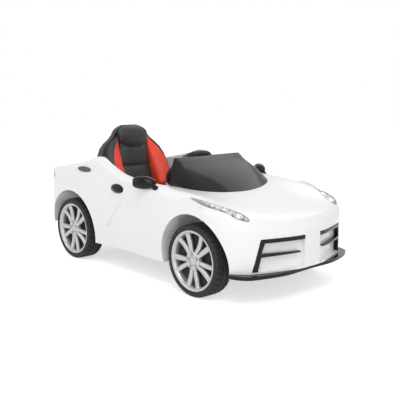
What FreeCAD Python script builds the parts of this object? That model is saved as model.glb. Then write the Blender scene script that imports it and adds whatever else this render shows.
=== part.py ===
import FreeCAD, Part
import math
import os
import re
import Sketcher
from FreeCAD import Placement, Rotation, Vector

doc = FreeCAD.newDocument("RideOnCar")
sheet = doc.addObject("Spreadsheet::Sheet", "Sizes")

# Driving sizes in millimetres and degrees, one cell each
SIZES = (
    # Body shell
    ("nose_reach", 528), ("tail_reach", 538), ("body_half_width", 270),
    ("sill_height", 80), ("waist_height", 190), ("plan_top_height", 420),
    ("sill_tuck", 10), ("top_tuck", 9), ("wall", 4), ("overrun", 40), ("fit", 0.3),
    ("crest_height", 385), ("shoulder_drop", 70), ("nose_drop", 120), ("tail_drop", 30),
    ("nose_round", 44), ("tail_round", 30), ("sheet_margin", 14), ("tail_clearance", 117),
    ("wheelbase", 650), ("front_overhang", 243), ("axle_height", 111), ("arch_radius", 142),
    ("well_depth", 142), ("window_back", 88), ("window_front", 28), ("window_top", 140),
    ("axle_hole_radius", 12),
    # Air scoop in each door
    ("scoop_rear", 170), ("scoop_front", 104), ("scoop_low", 148), ("scoop_high", 258), ("scoop_depth", 7),
    ("scoop_lean", 30),
    # Front grille, splitter
    ("grille_inner", 36), ("grille_outer_low", 204), ("grille_outer_high", 183), ("grille_low", 103),
    ("grille_high", 197), ("grille_depth", 11), ("grille_bar", 12), ("grille_mid_height", 150),
    ("trim_proud", 2), ("splitter_top", 98), ("splitter_low", 87), ("splitter_reach", 538),
    ("splitter_half_width", 257), ("splitter_band", 34),
    # Lights, fuel cap, handles, mirrors
    ("lens_skin", 3), ("headlight_depth", 26), ("bowl_radius", 19), ("tail_light_low", 290),
    ("tail_light_high", 311), ("tail_light_inner", 118), ("tail_light_reach", 60), ("tail_light_depth", 6),
    ("cap_place", 271), ("cap_length", 78), ("cap_width", 19), ("cap_height", 338), ("cap_rise", 2),
    ("handle_place", 82), ("handle_height", 289), ("handle_length", 70), ("handle_drop", 32),
    ("handle_bulge", 13), ("handle_offset", 261),
    ("mirror_place", 68), ("mirror_offset", 271), ("mirror_height", 325), ("mirror_length", 86),
    ("mirror_depth", 42), ("mirror_sweep", 33), ("mirror_arm_radius", 9),
    ("mirror_arm_x", 136), ("mirror_arm_y", 250), ("mirror_arm_z", 302), ("mirror_cut", 13),
    ("glass_inset", 3), ("glass_thick", 2.6),
    # Windscreen
    ("screen_base", 252), ("screen_base_height", 294), ("screen_top_x", 76), ("screen_top", 394),
    ("screen_side_base", 117), ("screen_side_width", 210), ("screen_top_width", 150), ("screen_thick", 3),
    ("screen_lip", 7), ("screen_lip_height", 10), ("screen_foot", 16), ("screen_swell", 8),
    # Cockpit tub, tray, dashboard
    ("tub_wall", 3), ("tub_sink", 2), ("toe_step_x", 135), ("toe_step_height", 175), ("seat_step_x", 295),
    ("seat_step_height", 185), ("tray_low", 82), ("tray_thick", 4), ("tray_half", 122), ("tray_rear", 400),
    ("tray_front", 424), ("tray_side_rear", 214), ("tray_side_front", 130), ("dash_face", 100),
    ("dash_low", 205), ("dash_gap", 4), ("dash_wall", 4), ("dash_panel", 18),
    ("screw_radius", 4), ("screw_head", 2), ("screw_pitch", 110), ("screw_row", 200),
    # Steering
    ("wheel_x", 15), ("wheel_z", 340), ("column_tilt", 45.8), ("wheel_ring", 82), ("wheel_tube", 10),
    ("hub_radius", 30), ("hub_thick", 16), ("hub_sink", 4), ("spoke_width", 22), ("spoke_thick", 9),
    ("pad_radius", 24), ("pad_rise", 7), ("horn_radius", 6), ("horn_place", 48), ("horn_rise", 4),
    ("horn_depth", 6), ("horn_travel", 2), ("column_radius", 7), ("column_length", 295), ("crank_thick", 10),
    ("crank_reach", 32), ("crank_width", 14), ("crank_pin", 4), ("crank_pin_length", 22),
    ("running_fit", 0.05), ("bush_radius", 11), ("bush_start", 156), ("bush_length", 32),
    ("column_hole", 12), ("bridge_rear", 168), ("bridge_front", 190), ("bridge_low", 143),
    ("bridge_high", 166), ("bridge_half", 55), ("leg_thick", 12),
    # Front axle, knuckles, tie rod
    ("kingpin_y", 165), ("kingpin_radius", 5), ("barrel_radius", 10), ("barrel_height", 30),
    ("beam_half", 13), ("beam_top", 127), ("beam_reach", 120), ("clevis_play", 0.4), ("clevis_thick", 7.6),
    ("clevis_web", 148), ("clevis_end", 176), ("axle_radius", 5), ("collar_radius", 11),
    ("collar_width", 6.5), ("wheel_gap", 0.5), ("arm_length", 60), ("arm_width", 12), ("arm_low", 98),
    ("arm_thick", 8), ("arm_pin", 3), ("arm_pin_length", 16), ("rod_low", 108), ("rod_thick", 8),
    ("rod_width", 12), ("eye_half", 10), ("eye_slot", 3.6), ("eye_play", 0.6), ("fork_gap", 1.2),
    ("fork_thick", 4), ("fork_start", 304), ("fork_end", 317), ("fork_near", 20), ("fork_far", 42),
    # Wheels
    ("tyre_radius", 111), ("tyre_width", 70), ("track_face", 265), ("tyre_shoulder", 11), ("rim_radius", 93),
    ("cap_seat", 46), ("web_thick", 8), ("wheel_hub", 22), ("tread_depth", 3.5), ("tread_gap", 6),
    ("tread_reach", 22), ("tread_count", 36), ("nut_radius", 9), ("nut_width", 7), ("cap_lip", 13),
    ("cap_lip_rise", 22), ("cap_face", 8), ("cap_dish", 15), ("cap_hub", 29), ("cap_hub_rise", 19),
    ("cap_nut_room", 11.5), ("lug_radius", 3.5), ("lug_ring", 21), ("lug_rise", 3), ("spoke_pairs", 5),
    # Rear axle, drive
    ("bracket_y", 100), ("bracket_thick", 6), ("bracket_half", 20), ("bracket_top", 132),
    ("sleeve_radius", 9), ("sleeve_start", 112), ("gearbox_length", 90), ("gearbox_height", 70),
    ("gearbox_width", 34), ("gearbox_y", 62), ("gearbox_back", 34), ("motor_radius", 18),
    ("motor_length", 58), ("motor_x", 317),
    # Seat and battery
    ("seat_rear", 285), ("seat_front", 110), ("seat_half", 116), ("seat_high", 200), ("seat_wall", 4),
    ("seat_plate", 12), ("seat_top", 484), ("seat_back_half", 149), ("seat_crown", 9), ("bolster_crown", 14),
    ("bolster_rise", 15), ("wing_rise", 20), ("pad_half", 76), ("pad_gap", 1), ("base_pad_edge", 14), ("base_pad_crown", 16),
    ("battery_length", 110), ("battery_width", 120), ("battery_height", 78), ("battery_rear", 272),
    # Pedal and switches
    ("pedal_x", 62), ("pedal_y", 66), ("pedal_length", 62), ("pedal_width", 42), ("pedal_thick", 5),
    ("pedal_base_height", 8), ("pedal_pivot", 15), ("pedal_pin", 3), ("pedal_barrel", 6), ("pedal_slope", 24),
    ("pedal_cheek", 5), ("pedal_base_length", 66),
    ("button_radius", 9), ("button_rise", 5), ("button_depth", 10), ("button_travel", 2.5), ("button_y", 92),
    ("panel_height", 258), ("lever_y", 92), ("lever_barrel", 6), ("lever_width", 10), ("lever_length", 34),
    ("lever_stick", 3.5), ("lever_knob", 8), ("lever_slot", 13), ("socket_y", 46), ("socket_radius", 10),
    ("socket_bore", 4), ("socket_depth", 12),
)
for number, (alias, value) in enumerate(SIZES, 1):
    sheet.set("A%d" % number, alias)
    sheet.set("B%d" % number, str(value))
    sheet.setAlias("B%d" % number, alias)
doc.recompute()


class SheetSizes:
    """Reads a size from the sheet by its alias."""

    def __getattr__(self, alias):
        return float(sheet.get(alias))


S = SheetSizes()
NODES = []


def node(item, label):
    """Marks an object of the document as a sub-part to be written."""
    item.Label = label
    NODES.append(item)
    return item


def feature(label, shape):
    """Adds a free-form sub-part."""
    item = doc.addObject("Part::Feature", label)
    item.Shape = shape
    item.Placement = shape.Placement
    return node(item, label)


def curve(table, place):
    """Smooth curve through a table of (place, value) pairs."""
    last = len(table) - 1
    for i in range(last):
        if place <= table[i + 1][0] or i == last - 1:
            break
    x0, y0 = table[i]
    x1, y1 = table[i + 1]
    step = x1 - x0
    rise = (y1 - y0) / step
    before = rise
    after = rise
    if i > 0:
        before = (y1 - table[i - 1][1]) / (x1 - table[i - 1][0])
    if i + 1 < last:
        after = (table[i + 2][1] - y0) / (table[i + 2][0] - x0)
    part = (place - x0) / step
    if part < 0 or part > 1:
        return y0 + rise * (place - x0)
    keep = 1 - part
    return (
        y0 * keep * keep * (1 + 2 * part) + before * step * part * keep * keep
        + y1 * part * part * (3 - 2 * part) - after * step * part * part * keep
    )


# Plan outline of half the body, tail to nose, as shares of the reach at that end and the half width
PLAN_SHARES = (
    (-1, 0), (-0.997, 0.44), (-0.984, 0.8), (-0.938, 0.945), (-0.83, 0.99), (-0.678, 1), (-0.372, 0.981),
    (0, 0.97), (0.284, 0.985), (0.54, 1), (0.729, 0.98), (0.812, 0.937), (0.881, 0.822), (0.937, 0.593),
    (0.985, 0.296), (1, 0),
)
# Height of the body's middle line and of its side crests, as shares of the reaches and crest height
MIDDLE_SHARES = (
    (-1.03, 0.83), (-0.93, 0.853), (-0.78, 0.863), (-0.56, 0.873), (-0.28, 0.863), (0, 0.827),
    (0.246, 0.796), (0.477, 0.76), (0.663, 0.716), (0.814, 0.677), (0.947, 0.636), (1.06, 0.59),
)
CREST_SHARES = (
    (-1.026, 0.836), (-0.967, 0.842), (-0.907, 0.855), (-0.814, 0.873), (-0.688, 0.906), (-0.543, 0.943),
    (-0.45, 0.979), (-0.383, 1), (-0.286, 0.945), (-0.178, 0.886), (-0.112, 0.862), (-0.054, 0.85),
    (0.076, 0.832), (0.176, 0.823), (0.275, 0.818), (0.379, 0.808), (0.508, 0.789), (0.644, 0.755),
    (0.758, 0.714), (0.879, 0.649), (0.985, 0.592), (1.06, 0.551),
)
# Rows of the top surface along the middle line, and its columns across the half width
ROW_SHARES = (
    -0.94, -0.87, -0.78, -0.69, -0.6, -0.52, -0.45, -0.385, -0.33, -0.28, -0.22, -0.16, -0.11, -0.05,
    0.03, 0.13, 0.25, 0.38, 0.51, 0.625, 0.74, 0.83, 0.9,
)
COLUMN_SHARES = (0, 0.2, 0.42, 0.62, 0.78, 0.88, 0.95, 1, 1.07)
BLEND_SHARES = (0, 0.02, 0.12, 0.45, 0.85, 1, 1, 1, 1)
ROLL_SHARES = (0, 0, 0, 0, 0, 0, 0.08, 0.3, 1)
# The last rows roll over the nose and the tail: place in the rolled strip, then share of the drop
END_SHARES = ((0, 0), (0.4, 0.03), (0.7, 0.16), (0.88, 0.38), (1, 0.66))
ROW_ROOM_SHARE = 0.05
BEND_START_SHARE = 0.36


def reach(share):
    """Length along X for a share of the nose or tail reach."""
    return share * (S.nose_reach if share > 0 else S.tail_reach)


def two_sided_wire(half, height):
    """Closed outline from the points of its left half, square to the middle plane at both ends."""
    edges = []
    for side in (1, -1):
        points = [Vector(x, side * y, height) for x, y in half]
        spline = Part.BSplineCurve()
        spline.interpolate(points, InitialTangent=Vector(0, side, 0), FinalTangent=Vector(0, -side, 0))
        edges.append(spline.toShape())
    return Part.Wire(Part.sortEdges(edges)[0])


# Behind this share of the length the sides have a tuck of their own
FLARE_SHARE = -0.6


def plan_wire(height, inset, tuck, rear_tuck):
    """Closed plan outline of the body at one height."""
    half = []
    for x_share, y_share in PLAN_SHARES:
        grow = S.nose_reach if x_share > 0 else S.tail_reach
        drawn_in = rear_tuck if x_share < FLARE_SHARE else tuck
        half.append((x_share * (grow - inset), y_share * (S.body_half_width - inset - drawn_in)))
    return two_sided_wire(half, height)


def plan_solid(inset):
    """Side walls of the body, closed at the bottom and far above the roof line."""
    low = S.sill_height - (S.fit if inset else 0)
    wires = [
        plan_wire(low, inset, S.sill_tuck, 0),
        plan_wire(S.waist_height, inset, 0, 0),
        plan_wire(S.plan_top_height, inset, S.top_tuck, S.top_tuck),
    ]
    return Part.makeLoft(wires, True, False)


def nose_back(y):
    """How far the nose outline has drawn back at a distance from the middle plane."""
    table = [(v, u) for u, v in PLAN_SHARES[:9:-1]]
    share = min(abs(y) / S.body_half_width, COLUMN_SHARES[-1])
    return S.nose_reach * (1 - curve(table, share))


def tail_back(y):
    """How far the tail outline has drawn in at a distance from the middle plane."""
    table = [(v, -u) for u, v in PLAN_SHARES[:5]]
    share = min(abs(y) / S.body_half_width, COLUMN_SHARES[-1])
    return S.tail_reach * (1 - curve(table, share))


def top_height(x, column):
    """Height of the top surface at a length and a column, before the ends roll over."""
    share = x / (S.nose_reach if x > 0 else S.tail_reach)
    middle = curve(MIDDLE_SHARES, share) * S.crest_height
    crest = curve(CREST_SHARES, share) * S.crest_height
    blend = BLEND_SHARES[column]
    return middle + (crest - middle) * blend - S.shoulder_drop * ROLL_SHARES[column]


def top_rows():
    """Places of the rows along X with the drop of each and how much it follows an end's outline."""
    rows = []
    for place, drop in reversed(END_SHARES):
        x = -S.tail_reach - S.sheet_margin + (S.tail_round + S.sheet_margin) * (1 - place)
        rows.append((x, drop * S.tail_drop, "tail"))
    for share in ROW_SHARES:
        x = reach(share)
        rear_end = S.tail_round - S.tail_reach * (1 - ROW_ROOM_SHARE)
        if rear_end < x < S.nose_reach * (1 - ROW_ROOM_SHARE) - S.nose_round:
            rows.append((x, 0, "mid"))
    for place, drop in END_SHARES:
        x = S.nose_reach + S.sheet_margin - (S.nose_round + S.sheet_margin) * (1 - place)
        rows.append((x, drop * S.nose_drop, "nose"))
    return rows


def top_face(lift):
    """Top surface of the body, raised by a lift."""
    grid = []
    for x, drop, kind in top_rows():
        row = []
        front = max(0, (x / S.nose_reach - BEND_START_SHARE) / (1 - BEND_START_SHARE))
        rear = max(0, (-x / S.tail_reach - BEND_START_SHARE) / (1 - BEND_START_SHARE))
        for side in (-1, 1):
            columns = range(len(COLUMN_SHARES))
            columns = reversed(columns) if side < 0 else list(columns)[1:]
            for column in columns:
                y = side * COLUMN_SHARES[column] * S.body_half_width
                place = x - min(front, 1) * nose_back(y) + min(rear, 1) * tail_back(y)
                row.append(Vector(place, y, top_height(place, column) - drop + lift))
        grid.append(row)
    surface = Part.BSplineSurface()
    surface.interpolate(grid)
    return surface.toShape()


def top_solid(lift):
    """Everything under the top surface."""
    return top_face(lift).extrude(Vector(0, 0, -S.plan_top_height))


def amount(text):
    """Value of a sum of sizes written as in the sheet's expressions."""
    total = 0
    sign = 1
    for term in re.split(r"\s([+-])\s", text):
        if term in "+-":
            sign = 1 if term == "+" else -1
            continue
        value = 1
        action = "*"
        for word in re.split(r"\s([*/])\s", term):
            if word in "*/":
                action = word
                continue
            number = float(word) if word[0].isdigit() else float(sheet.get(word))
            value = value * number if action == "*" else value / number
        total += sign * value
    return total


def bind(item, field, text):
    """Ties a property to an expression in the sheet's sizes."""
    item.setExpression(field, re.sub(r"[a-z][a-z_]+", lambda match: "Sizes." + match.group(), text))


def solid(kind, name, place=("0", "0", "0"), turn=None, **fields):
    """Part primitive with its sizes and place tied to the sheet."""
    item = doc.addObject("Part::" + kind, name)
    for field, text in fields.items():
        bind(item, field, text)
    if turn:
        item.Placement = Placement(Vector(), turn)
    for axis, text in zip("xyz", place):
        if text != "0":
            bind(item, "Placement.Base." + axis, text)
    return item


def box(name, x, y, z):
    """Box between two expressions along each axis."""
    low = [pair[0] for pair in (x, y, z)]
    span = ["%s - (%s)" % (pair[1], pair[0]) for pair in (x, y, z)]
    return solid("Box", name, low, None, Length=span[0], Width=span[1], Height=span[2])


def fuse(name, items):
    """Union of document objects."""
    item = doc.addObject("Part::MultiFuse", name)
    item.Shapes = items
    return item


def cut(name, base, tool):
    """One document object cut out of another."""
    item = doc.addObject("Part::Cut", name)
    item.Base = base
    item.Tool = tool
    return item


def part_body(label):
    """Empty body for a sub-part made of sketches and features."""
    return node(doc.addObject("PartDesign::Body", label), label)


def datum(body, role):
    """Origin plane or axis of a body."""
    return [item for item in body.Origin.OriginFeatures if item.Role == role][0]


def sketch(body, role, name, places):
    """Closed outline of straight lines through places in a body's origin plane."""
    item = body.newObject("Sketcher::SketchObject", name)
    item.AttachmentSupport = [(datum(body, role), "")]
    item.MapMode = "FlatFace"
    count = len(places)
    for i in range(count):
        item.addGeometry(Part.LineSegment(places[i], places[(i + 1) % count]), False)
    for i in range(count):
        item.addConstraint(Sketcher.Constraint("Coincident", i, 2, (i + 1) % count, 1))
    return item


def outline(body, role, name, points):
    """Outline whose corners are tied to expressions in the sheet's sizes."""
    item = sketch(body, role, name, [Vector(amount(x), amount(y), 0) for x, y in points])
    for i, pair in enumerate(points):
        for kind, axis, text in (("DistanceX", -2, pair[0]), ("DistanceY", -1, pair[1])):
            if text == "0":
                item.addConstraint(Sketcher.Constraint("PointOnObject", i, 1, axis))
            else:
                number = item.addConstraint(Sketcher.Constraint(kind, -1, 1, i, 1, amount(text)))
                bind(item, "Constraints[%d]" % number, text)
    return item


def turned(body, profile, name):
    """Revolution of a profile about the body's X axis."""
    item = body.newObject("PartDesign::Revolution", name)
    item.Profile = profile
    item.ReferenceAxis = (profile, ["H_Axis"])
    doc.recompute()
    return item


def pocket(body, profile, name, length):
    """Pocket cut to both sides of its sketch plane."""
    before = body.Shape.Volume
    item = body.newObject("PartDesign::Pocket", name)
    item.Profile = profile
    item.SideType = "Symmetric"
    bind(item, "Length", length)
    doc.recompute()
    if body.Shape.Volume >= before:
        raise RuntimeError("%s cuts nothing" % name)
    return item


def polar(body, feature_item, name, count):
    """Pattern of a feature about the body's X axis."""
    item = body.newObject("PartDesign::PolarPattern", name)
    item.Originals = [feature_item]
    item.Axis = (datum(body, "X_Axis"), [""])
    item.Angle = 360
    bind(item, "Occurrences", count)
    body.Tip = item
    doc.recompute()
    return item


def prism(points, direction, smooth=False):
    """Solid from a closed outline pushed along a direction."""
    if smooth:
        spline = Part.BSplineCurve()
        spline.interpolate(points, PeriodicFlag=True)
        wire = Part.Wire(spline.toShape())
    else:
        wire = Part.makePolygon(points + points[:1])
    return Part.Face(wire).extrude(direction)


def block(low, high):
    """Box between two corners."""
    size = high.sub(low)
    return Part.makeBox(size.x, size.y, size.z, low)


def rod(radius, start, end):
    """Cylinder between two points."""
    way = end.sub(start)
    return Part.makeCylinder(radius, way.Length, start, way)


def moved(shape, x, y, z):
    """Shifted copy of a shape."""
    copy = shape.copy()
    copy.translate(Vector(x, y, z))
    return copy


def mirrored(shape):
    """Copy of a shape on the other side of the middle plane."""
    return shape.mirror(Vector(), Vector(0, 1, 0))


front_x = S.nose_reach - S.front_overhang
rear_x = front_x - S.wheelbase
SIDES = (("left", 1), ("right", -1))
ROUND_STEPS = 16


def wells(grow):
    """The four wheel wells, grown all round."""
    inner = S.body_half_width - S.well_depth - grow
    outer = S.body_half_width + S.overrun
    shapes = []
    for x in (front_x, rear_x):
        for label, side in SIDES:
            start = Vector(x, side * inner, S.axle_height)
            shapes.append(rod(S.arch_radius + grow, start, Vector(x, side * outer, S.axle_height)))
    return shapes


# Outline of the cockpit opening, tail to nose, as shares of the reaches and the half width
OPENING_SHARES = (
    (-0.703, 0), (-0.702, 0.44), (-0.69, 0.59), (-0.62, 0.69), (-0.53, 0.75), (-0.409, 0.822), (-0.223, 0.852),
    (0, 0.844), (0.17, 0.815), (0.303, 0.704), (0.36, 0.407), (0.369, 0),
)


def opening(inset, low, high):
    """Upright solid of the cockpit opening, drawn in by an inset."""
    half = []
    for x_share, y_share in OPENING_SHARES:
        end_share = OPENING_SHARES[-1][0] if x_share > 0 else OPENING_SHARES[0][0]
        x = reach(x_share) - inset * x_share / abs(end_share)
        y = y_share * S.body_half_width - inset * y_share / max(v for u, v in OPENING_SHARES)
        half.append((x, y))
    return Part.Face(two_sided_wire(half, low)).extrude(Vector(0, 0, high - low))


body_outer = plan_solid(0).common(top_solid(0))


# Outline of a door scoop seen from the side, as shares of its length and height
SCOOP_SHARES = ((0, 0.03), (0.4, 1.02), (0.62, 1.02), (0.84, 0.5), (0.78, 0.08), (0.66, 0.01), (0.45, 0))
# Corners of the flat that its floor lies in, and how fast the depth runs out along and up
FLOOR_SHARES = ((-1, -1), (2, -1), (2, 2), (-1, 2))
RUN_SHARES = (1.09, 0.7)
# How much each corner of the outline leans forward with depth
LEAN_SHARES = (1, 0.7, 0, 0, 0, 0, 0)


def scoop(side, grow):
    """Wedge cut out of a door, deepest at its low rear corner, running out upward and forward."""
    length = S.scoop_rear + S.scoop_front
    height = S.scoop_high - S.scoop_low
    skin = S.body_half_width - S.sill_tuck
    middle_x = sum(u for u, v in SCOOP_SHARES) / len(SCOOP_SHARES)
    middle_z = sum(v for u, v in SCOOP_SHARES) / len(SCOOP_SHARES)
    wires = []
    for lean, y in ((S.scoop_lean, skin - 2 * S.scoop_depth - grow), (0, skin + 2 * S.scoop_depth)):
        outline = []
        for (u, v), share in zip(SCOOP_SHARES, LEAN_SHARES):
            x = u * length - S.scoop_rear + 2 * grow * (u - middle_x) + lean * share
            outline.append(Vector(x, side * y, S.scoop_low + v * height + 2 * grow * (v - middle_z)))
        wires.append(Part.makePolygon(outline + outline[:1]))
    face = Part.makeLoft(wires, True, True)
    floor = []
    for u, v in FLOOR_SHARES:
        depth = S.scoop_depth * (1 - RUN_SHARES[0] * u - RUN_SHARES[1] * v)
        floor.append(Vector(u * length - S.scoop_rear, side * (skin - depth - grow), S.scoop_low + v * height))
    return face.common(prism(floor, Vector(0, side * S.body_half_width, 0)))


def grille_outline(side, grow):
    """Outline of one grille field in the YZ plane, behind the nose."""
    points = (
        (S.grille_inner - grow, S.grille_low - grow), (S.grille_outer_low + grow, S.grille_low - grow),
        (S.grille_outer_high + grow, S.grille_high + grow), (S.grille_inner - grow, S.grille_high + grow),
    )
    return [Vector(S.screen_base, side * y, z) for y, z in points]


def sunk(side, depth):
    """The body pushed back from the nose, for a field of that depth."""
    return moved(body_outer, -depth, -side * depth / 2, 0)


def grille_field(side, grow):
    """Straight block through one grille field."""
    return prism(grille_outline(side, grow), Vector(S.nose_reach, 0, 0))


# Headlight outline in plan: teardrop from rear tip round the front, shares of nose reach and half width
HEADLIGHT_SHARES = (
    (0.525, 0.952), (0.62, 0.962), (0.735, 0.938), (0.812, 0.885), (0.857, 0.81), (0.87, 0.745),
    (0.84, 0.72), (0.765, 0.765), (0.65, 0.868),
)


def headlight_prism(side, inset):
    """Upright solid of a headlight's outline, drawn in by an inset."""
    middle_x = sum(u for u, v in HEADLIGHT_SHARES) / len(HEADLIGHT_SHARES) * S.nose_reach
    middle_y = sum(v for u, v in HEADLIGHT_SHARES) / len(HEADLIGHT_SHARES) * S.body_half_width
    points = []
    for u, v in HEADLIGHT_SHARES:
        out = Vector(u * S.nose_reach - middle_x, v * S.body_half_width - middle_y, 0)
        out = out.sub(Vector(out).normalize().multiply(inset))
        points.append(Vector(middle_x + out.x, side * (middle_y + out.y), S.waist_height))
    return prism(points, Vector(0, 0, S.plan_top_height), True)


def tail_prism(side, inset):
    """Block through one tail light."""
    low = Vector(-S.tail_reach - S.overrun, side * (S.tail_light_inner + inset), S.tail_light_low + inset)
    high = Vector(
        S.tail_light_reach - S.tail_reach - inset, side * (S.body_half_width + S.overrun),
        S.tail_light_high - inset,
    )
    return block(Vector(low.x, min(low.y, high.y), low.z), Vector(high.x, max(low.y, high.y), high.z))


def tail_sunk(side, depth):
    """The body pushed in from a tail corner."""
    return moved(body_outer, depth, -side * depth, 0)


# Front splitter: a band under the nose with proud corners, as shares of its own reach and half width
SPLITTER_SHARES = (
    (0.8, 0.998), (0.86, 0.965), (0.905, 0.89), (0.926, 0.8), (0.95, 0.64), (0.973, 0.38), (0.971, 0.2), (0.968, 0),
)

cavity = plan_solid(S.wall).common(top_solid(-S.wall))
keep = wells(S.wall)
for label, side in SIDES:
    keep.append(scoop(side, S.wall))
    keep.append(grille_field(side, S.wall).cut(sunk(side, S.grille_depth + S.wall)))
    keep.append(headlight_prism(side, -S.wall).cut(moved(body_outer, 0, 0, -S.headlight_depth - S.wall)))
    keep.append(tail_prism(side, -S.wall).cut(tail_sunk(side, S.tail_light_depth + S.wall)))
cavity = cavity.cut(keep)

cuts = [cavity] + wells(0) + [opening(0, S.sill_height, S.plan_top_height)]
for label, side in SIDES:
    cuts.append(scoop(side, 0))
    cuts.append(grille_field(side, 0).cut(sunk(side, S.grille_depth)))
    cuts.append(headlight_prism(side, 0).cut(moved(body_outer, 0, 0, -S.headlight_depth)))
    cuts.append(tail_prism(side, 0).cut(tail_sunk(side, S.tail_light_depth)))
    liner = side * (S.body_half_width - S.well_depth)
    cuts.append(block(
        Vector(front_x - S.window_back, min(liner - S.overrun / 2, liner + S.overrun / 2), 0),
        Vector(front_x + S.window_front, max(liner - S.overrun / 2, liner + S.overrun / 2), S.window_top),
    ))
cuts.append(rod(
    S.axle_hole_radius, Vector(rear_x, -S.body_half_width, S.axle_height),
    Vector(rear_x, S.body_half_width, S.axle_height),
))
cuts.append(block(
    Vector(-S.tail_reach - S.overrun, -S.body_half_width - S.overrun, 0),
    Vector(rear_x, S.body_half_width + S.overrun, S.tail_clearance),
))
cuts.append(block(
    Vector(SPLITTER_SHARES[0][0] * S.splitter_reach, -S.body_half_width - S.overrun, 0),
    Vector(S.nose_reach + S.overrun, S.body_half_width + S.overrun, S.splitter_top),
))
feature("body_shell", body_outer.cut(cuts))


def splitter_wire(inset):
    """Half-open outline of the splitter, closed across the car behind it."""
    left = []
    for u, v in SPLITTER_SHARES:
        left.append(Vector(u * (S.splitter_reach - inset), v * (S.splitter_half_width - inset), S.splitter_low))
    right = [Vector(p.x, -p.y, p.z) for p in left[-2::-1]]
    spline = Part.BSplineCurve()
    spline.interpolate(left + right)
    return Part.Wire([spline.toShape(), Part.LineSegment(right[-1], left[0]).toShape()])


height = S.splitter_top - S.fit - S.splitter_low
plate = Part.Face(splitter_wire(0)).extrude(Vector(0, 0, height))
hollow = Part.Face(splitter_wire(S.splitter_band)).extrude(Vector(0, 0, height))
feature("front_splitter", plate.cut(hollow))

for label, side in SIDES:
    # Grille trim: a top bar, an outer bar and a middle bar that tapers inward
    bar = S.grille_bar
    slope = (S.grille_outer_low - S.grille_outer_high) / (S.grille_high - S.grille_low)
    middle = S.grille_outer_high + slope * (S.grille_high - S.grille_mid_height)
    field = grille_field(side, -S.fit)
    corner = S.grille_outer_high - bar
    inside = [
        (S.grille_inner - bar, S.grille_low - bar), (S.grille_outer_low - bar, S.grille_low - bar),
        (middle - bar, S.grille_mid_height - bar / 2.4), (S.grille_inner + 1.4 * bar, S.grille_mid_height - bar / 6),
        (S.grille_inner + 1.4 * bar, S.grille_mid_height + bar / 6), (middle - bar, S.grille_mid_height + bar / 2.4),
        (corner, S.grille_high - bar), (S.grille_inner - bar, S.grille_high - bar),
    ]
    hole = prism([Vector(0, side * y, z) for y, z in inside], Vector(S.nose_reach + S.overrun, 0, 0))
    skin = moved(body_outer, S.trim_proud, side * S.trim_proud / 2, 0).cut(sunk(side, S.grille_depth - S.fit))
    feature("grille_trim_" + label, skin.common(field.cut(hole)))

    # Headlight: a clear lens over a bright reflector with a round bowl
    shape = headlight_prism(side, S.fit)
    feature("headlight_lens_" + label, shape.common(body_outer).cut(moved(body_outer, 0, 0, -S.lens_skin)))
    bright = shape.common(moved(body_outer, 0, 0, -S.lens_skin - S.fit))
    bright = bright.cut(moved(body_outer, 0, 0, -S.headlight_depth + S.fit))
    bowls = []
    for u_share, v_share, size_share in ((0.815, 0.8, 1), (0.74, 0.85, 0.8), (0.67, 0.905, 0.55)):
        place = Vector(u_share * S.nose_reach, side * v_share * S.body_half_width, 0)
        top = curve(CREST_SHARES, u_share) * S.crest_height - S.lens_skin
        bowls.append(Part.makeSphere(size_share * S.bowl_radius, Vector(place.x, place.y, top)))
    feature("headlight_reflector_" + label, bright.cut(bowls))

    # Tail light wrapped round the corner
    shape = tail_prism(side, S.fit).common(body_outer).cut(tail_sunk(side, S.tail_light_depth - S.fit))
    feature("tail_light_" + label, shape)
    # Door handle: a bulb on the door skin
    bulb = solid(
        "Ellipsoid", "handle_bulb_" + label,
        ("0 - handle_place", "handle_offset" if side > 0 else "0 - handle_offset", "handle_height"),
        Radius1="handle_drop / 2", Radius2="handle_length / 2", Radius3="handle_bulge",
    )
    doc.recompute()
    door = moved(body_outer, 0, side * S.fit, 0)
    feature("door_handle_" + label, bulb.Shape.cut(door))

    # Door mirror: a pod on an arm, cut flat at the rear for its glass
    sweep = Rotation(Vector(0, 0, 1), -side * S.mirror_sweep)
    oval = Part.ArcOfEllipse(Part.Ellipse(Vector(), S.mirror_length / 2, S.mirror_depth / 2), 0, math.pi)
    base = Part.LineSegment(oval.EndPoint, oval.StartPoint)
    pod = Part.Face(Part.Wire([oval.toShape(), base.toShape()])).revolve(Vector(), Vector(1, 0, 0), 360)
    centre = Vector(S.mirror_place, side * S.mirror_offset, S.mirror_height)
    foot = Vector(S.mirror_arm_x, side * S.mirror_arm_y, S.mirror_arm_z - S.mirror_arm_radius)
    ahead = centre.add(sweep.multVec(Vector(S.mirror_length / 4, 0, 0)))
    arm = rod(S.mirror_arm_radius, foot, ahead)
    flat = S.mirror_length / 2 - S.mirror_cut
    slab = block(
        Vector(-S.mirror_length, -S.mirror_length, -S.mirror_length),
        Vector(-flat, S.mirror_length, S.mirror_length),
    )
    taper = math.sqrt(1 - (2 * flat / S.mirror_length) ** 2)
    half_y = taper * S.mirror_depth / 2 - S.glass_inset
    points = []
    for step in range(ROUND_STEPS):
        turn = 2 * math.pi * step / ROUND_STEPS
        points.append(Vector(-flat, half_y * math.cos(turn), half_y * math.sin(turn)))
    pane = prism(points, Vector(S.glass_thick, 0, 0), True)
    at_pod = Placement(centre, sweep)
    for shape in (pod, slab, pane):
        shape.Placement = at_pod
    shell = pod.fuse(arm).cut(moved(body_outer, 0, side * S.fit, S.fit)).cut(slab).cut(pane)
    biggest = max(shell.Solids, key=lambda piece: piece.Volume)
    feature("mirror_housing_" + label, biggest)
    feature("mirror_glass_" + label, pane)

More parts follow.
